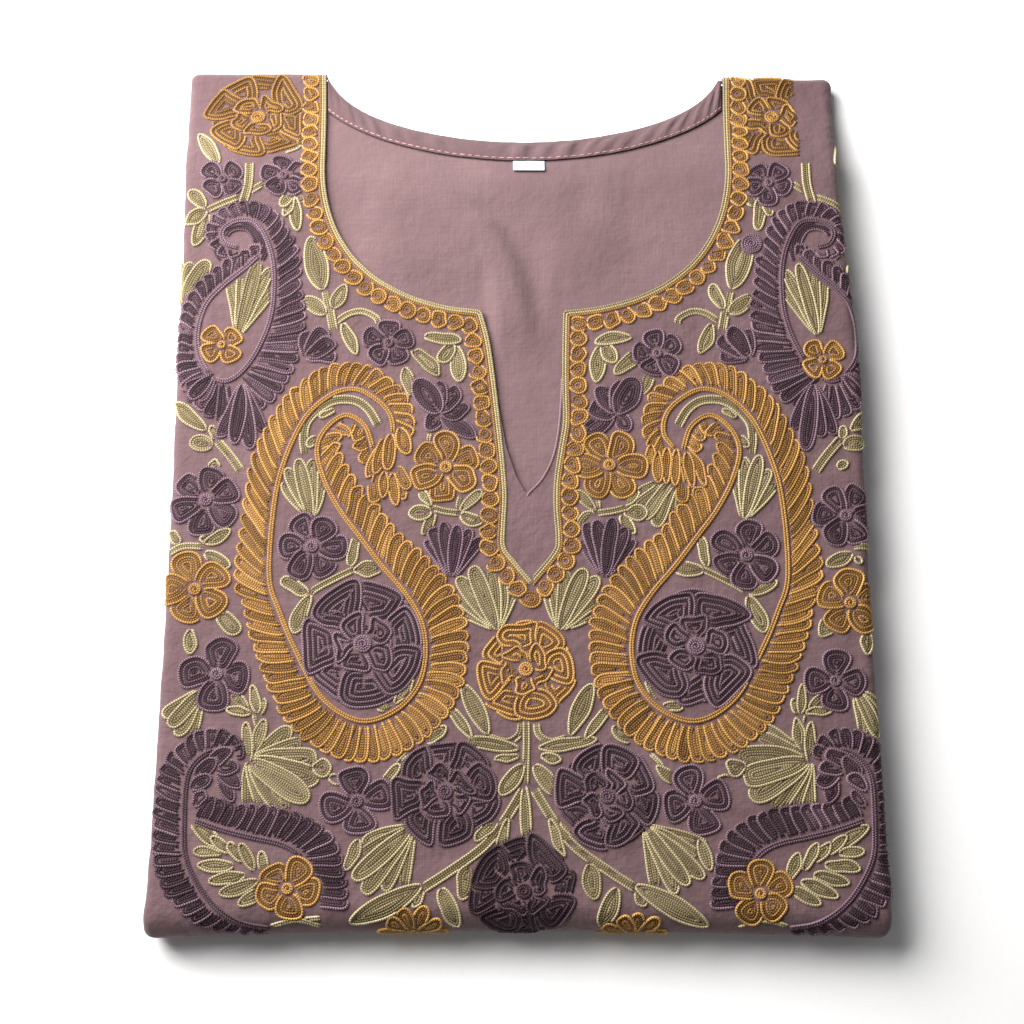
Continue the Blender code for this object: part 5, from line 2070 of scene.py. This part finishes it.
@dataclass
class Embroidery:
    """All motifs of the front.

    The motif on top is drawn first, and each piece holds one colour of one side.
    """

    cloth: StitchMap = field(default_factory=StitchMap)

    def work(self, name: str, thread: Thread, seed: int, unevenness: float = 0.55) -> Needlework:
        """An empty piece of needlework on this cloth."""
        return Needlework(name, thread, self.cloth, seed, unevenness=unevenness)

    def build(self) -> list[bpy.types.Object]:
        """Draws all motifs and sews them.

        Returns:
            The pieces.
        """
        cords = self.work("neck_cords", Thread.PALE_GREEN, 21)
        scallops = self.work("neck_scallops", Thread.GOLD, 22)
        # The slit's lighter row is a painted highlight on its right edge
        slit_highlight = self.work("slit_edge_painted_highlight", Thread.SLIT_HIGHLIGHT, 23)
        NeckBorder().draw(slit_highlight, cords, scallops)
        gold_rosettes = self.work("gold_rosettes", Thread.GOLD, 51, 1.5)
        for spot in GOLD_ROSETTES:
            # The rosettes at the shoulders are darker than the ones below
            gold_rosettes.rosette(spot, 0.56 if spot.y < 0 else 0.28)
        plum_rosettes = self.work("plum_rosettes", Thread.PURPLE, 81, 1.5)
        for spot in PLUM_ROSETTES:
            # They darken towards the lower turn
            plum_rosettes.rosette(spot, 0.44 - 0.34 * ((-70 - spot.y) / 112) ** 2.2)
        pieces = [slit_highlight, cords, scallops, gold_rosettes, plum_rosettes]
        for side in Side:
            pieces += self.draw_side(side)
        return [piece.sew() for piece in pieces]

    def draw_side(self, side: Side) -> list[Needlework]:
        """Draws the motifs of one side.

        Args:
            side: Left, or right where most motifs are mirrored.

        Returns:
            The needlework of that side.
        """
        left = side is Side.LEFT
        hand = 1 if left else -1

        def placed(spots: Iterable[NamedTuple]) -> list[NamedTuple]:
            """The motifs where they lie on this side."""
            return [spot if left else mirrored(spot) for spot in spots]

        blooms = self.work(f"plum_flowers_{side.value}", Thread.PURPLE, 72 + hand)
        golden = self.work(f"gold_flowers_{side.value}", Thread.GOLD, 42 + hand)
        for spot in PLUM_FLOWERS if left else PLUM_FLOWERS_RIGHT:
            blooms.flower(spot, 0.45)
        for spot in GOLD_FLOWERS if left else GOLD_FLOWERS_RIGHT:
            golden.flower(spot, 0.48)
        paisley = self.work(f"gold_paisley_{side.value}", Thread.GOLD, 32 + hand)
        for spot in GOLD_PODS if left else GOLD_PODS_RIGHT:
            paisley.leaf(spot, 0.5)
        paisley.plume(placed(GOLD_RAIL), hand, 4.3, -0.05)
        for spot in placed(PLUM_LEAVES):
            blooms.leaf(spot, 0.42)
        for spot in placed(PLUM_FANS):
            blooms.fan(spot, 0.42)
        if not left:
            blooms.row(coil(*PLUM_COIL_RIGHT), 1.1, 0.5)
        plumes = self.work(f"plum_paisleys_{side.value}", Thread.PURPLE, 62 + hand)
        for rail, turn in ((UPPER_PLUM_RAIL, -1), (LOWER_PLUM_RAIL, 1), (PLUM_ARM_RAIL, -1)):
            plumes.plume(placed(rail), turn * hand, 4.2, 0.06, 0.45 if rail is UPPER_PLUM_RAIL else 0.34)
        for spot in placed(PLUM_CURLS):
            plumes.stem(spot, 0.42)
        sage = self.work(f"sage_leaves_{side.value}", Thread.GREEN, 92 + hand)
        for spot in placed(SAGE_LEAVES):
            sage.leaf(spot, 0.5)
        for spot in placed(SAGE_FANS):
            sage.fan(spot, 0.5)
        if left:
            sage.stem(CENTRE_STEM, 0.5)
            sage.leaf(CENTRE_LEAF, 0.5)
        else:
            sage.fan(SAGE_FAN_RIGHT, 0.5)
        for spot in placed(SAGE_STEMS):
            sage.stem(spot, 0.5)
        return [blooms, golden, paisley, plumes, sage]


@dataclass
class Studio:
    """The plain pale floor, soft light from the upper left and the photograph's camera."""

    camera_place: tuple[float, float, float] = (-0.0020, -0.2263, 0.7940)
    camera_tilt: float = math.radians(15)
    lens: float = 64.3
    lamp_place: tuple[float, float, float] = (-0.42, 0.34, 0.50)
    lamp_size: float = 0.70
    lamp_power: float = 19.0
    air_strength: float = 0.16
    floor_half: float = 3.0

    def build(self) -> None:
        """Builds floor, lights and camera."""
        bm = bmesh.new()
        bmesh.ops.create_grid(bm, x_segments=2, y_segments=2, size=self.floor_half)
        mesh = bpy.data.meshes.new("studio_floor")
        bm.to_mesh(mesh)
        bm.free()
        floor = new_piece("studio_floor", mesh)
        material, tree, shader = new_material("matt_white_board")
        place = add_node(tree, "ShaderNodeTexCoord").outputs["Object"]
        noise = add_node(tree, "ShaderNodeTexNoise", Vector=place, Scale=260.0, Detail=2.0)
        ramp = add_node(tree, "ShaderNodeValToRGB", Fac=noise.outputs["Fac"])
        ramp.color_ramp.elements[0].color = linear("f8f8f8")
        ramp.color_ramp.elements[1].color = linear("fcfcfc")
        tree.links.new(ramp.outputs["Color"], shader.inputs["Base Color"])
        shader.inputs["Roughness"].default_value = 0.9
        shader.inputs["Specular IOR Level"].default_value = 0.1
        floor.data.materials.append(material)
        self.light("soft_box_left", self.lamp_place, self.lamp_size, self.lamp_power)
        world = bpy.data.worlds.new("studio_air")
        world.use_nodes = True
        air = world.node_tree.nodes["Background"].inputs
        air["Color"].default_value = (1.0, 1.0, 1.0, 1.0)
        air["Strength"].default_value = self.air_strength
        bpy.context.scene.world = world
        data = bpy.data.cameras.new("photo_camera")
        data.lens = self.lens
        data.sensor_width = 36.0
        camera = bpy.data.objects.new("photo_camera", data)
        camera.location = self.camera_place
        camera.rotation_euler = (self.camera_tilt, 0.0, 0.0)
        bpy.context.scene.collection.objects.link(camera)
        bpy.context.scene.camera = camera
        bpy.context.scene.view_settings.view_transform = "Standard"

    @staticmethod
    def light(name: str, place: tuple[float, float, float], size: float, power: float) -> None:
        """A square soft box that looks at the middle of the tunic.

        Args:
            name: Name of the light.
            place: Where it stands.
            size: Its side in metres.
            power: Its power in watts.
        """
        data = bpy.data.lights.new(name, "AREA")
        data.shape = "SQUARE"
        data.size = size
        data.energy = power
        data.color = (1.0, 0.99, 0.98)
        lamp = bpy.data.objects.new(name, data)
        lamp.location = place
        away = np.array(place)
        tilt = math.acos(away[2] / np.linalg.norm(away))
        lamp.rotation_euler = (tilt, 0.0, math.atan2(away[1], away[0]) + math.pi / 2)
        bpy.context.scene.collection.objects.link(lamp)


def main() -> None:
    """Builds the tunic in order and reports each piece."""
    logging.basicConfig(level=logging.INFO, format="%(message)s")
    Studio().build()
    for part in (FrontPanel(), BackPanel(), NeckFacing(), SizeTab(), FoldedLayers()):
        piece = part.build()
        log.info("%s: %d faces", piece.name, len(piece.data.polygons))
    for piece in [NeckFacing().stitches(), *Embroidery().build()]:
        log.info("%s: %d faces", piece.name, len(piece.data.polygons))


if __name__ == "__main__":
    main()
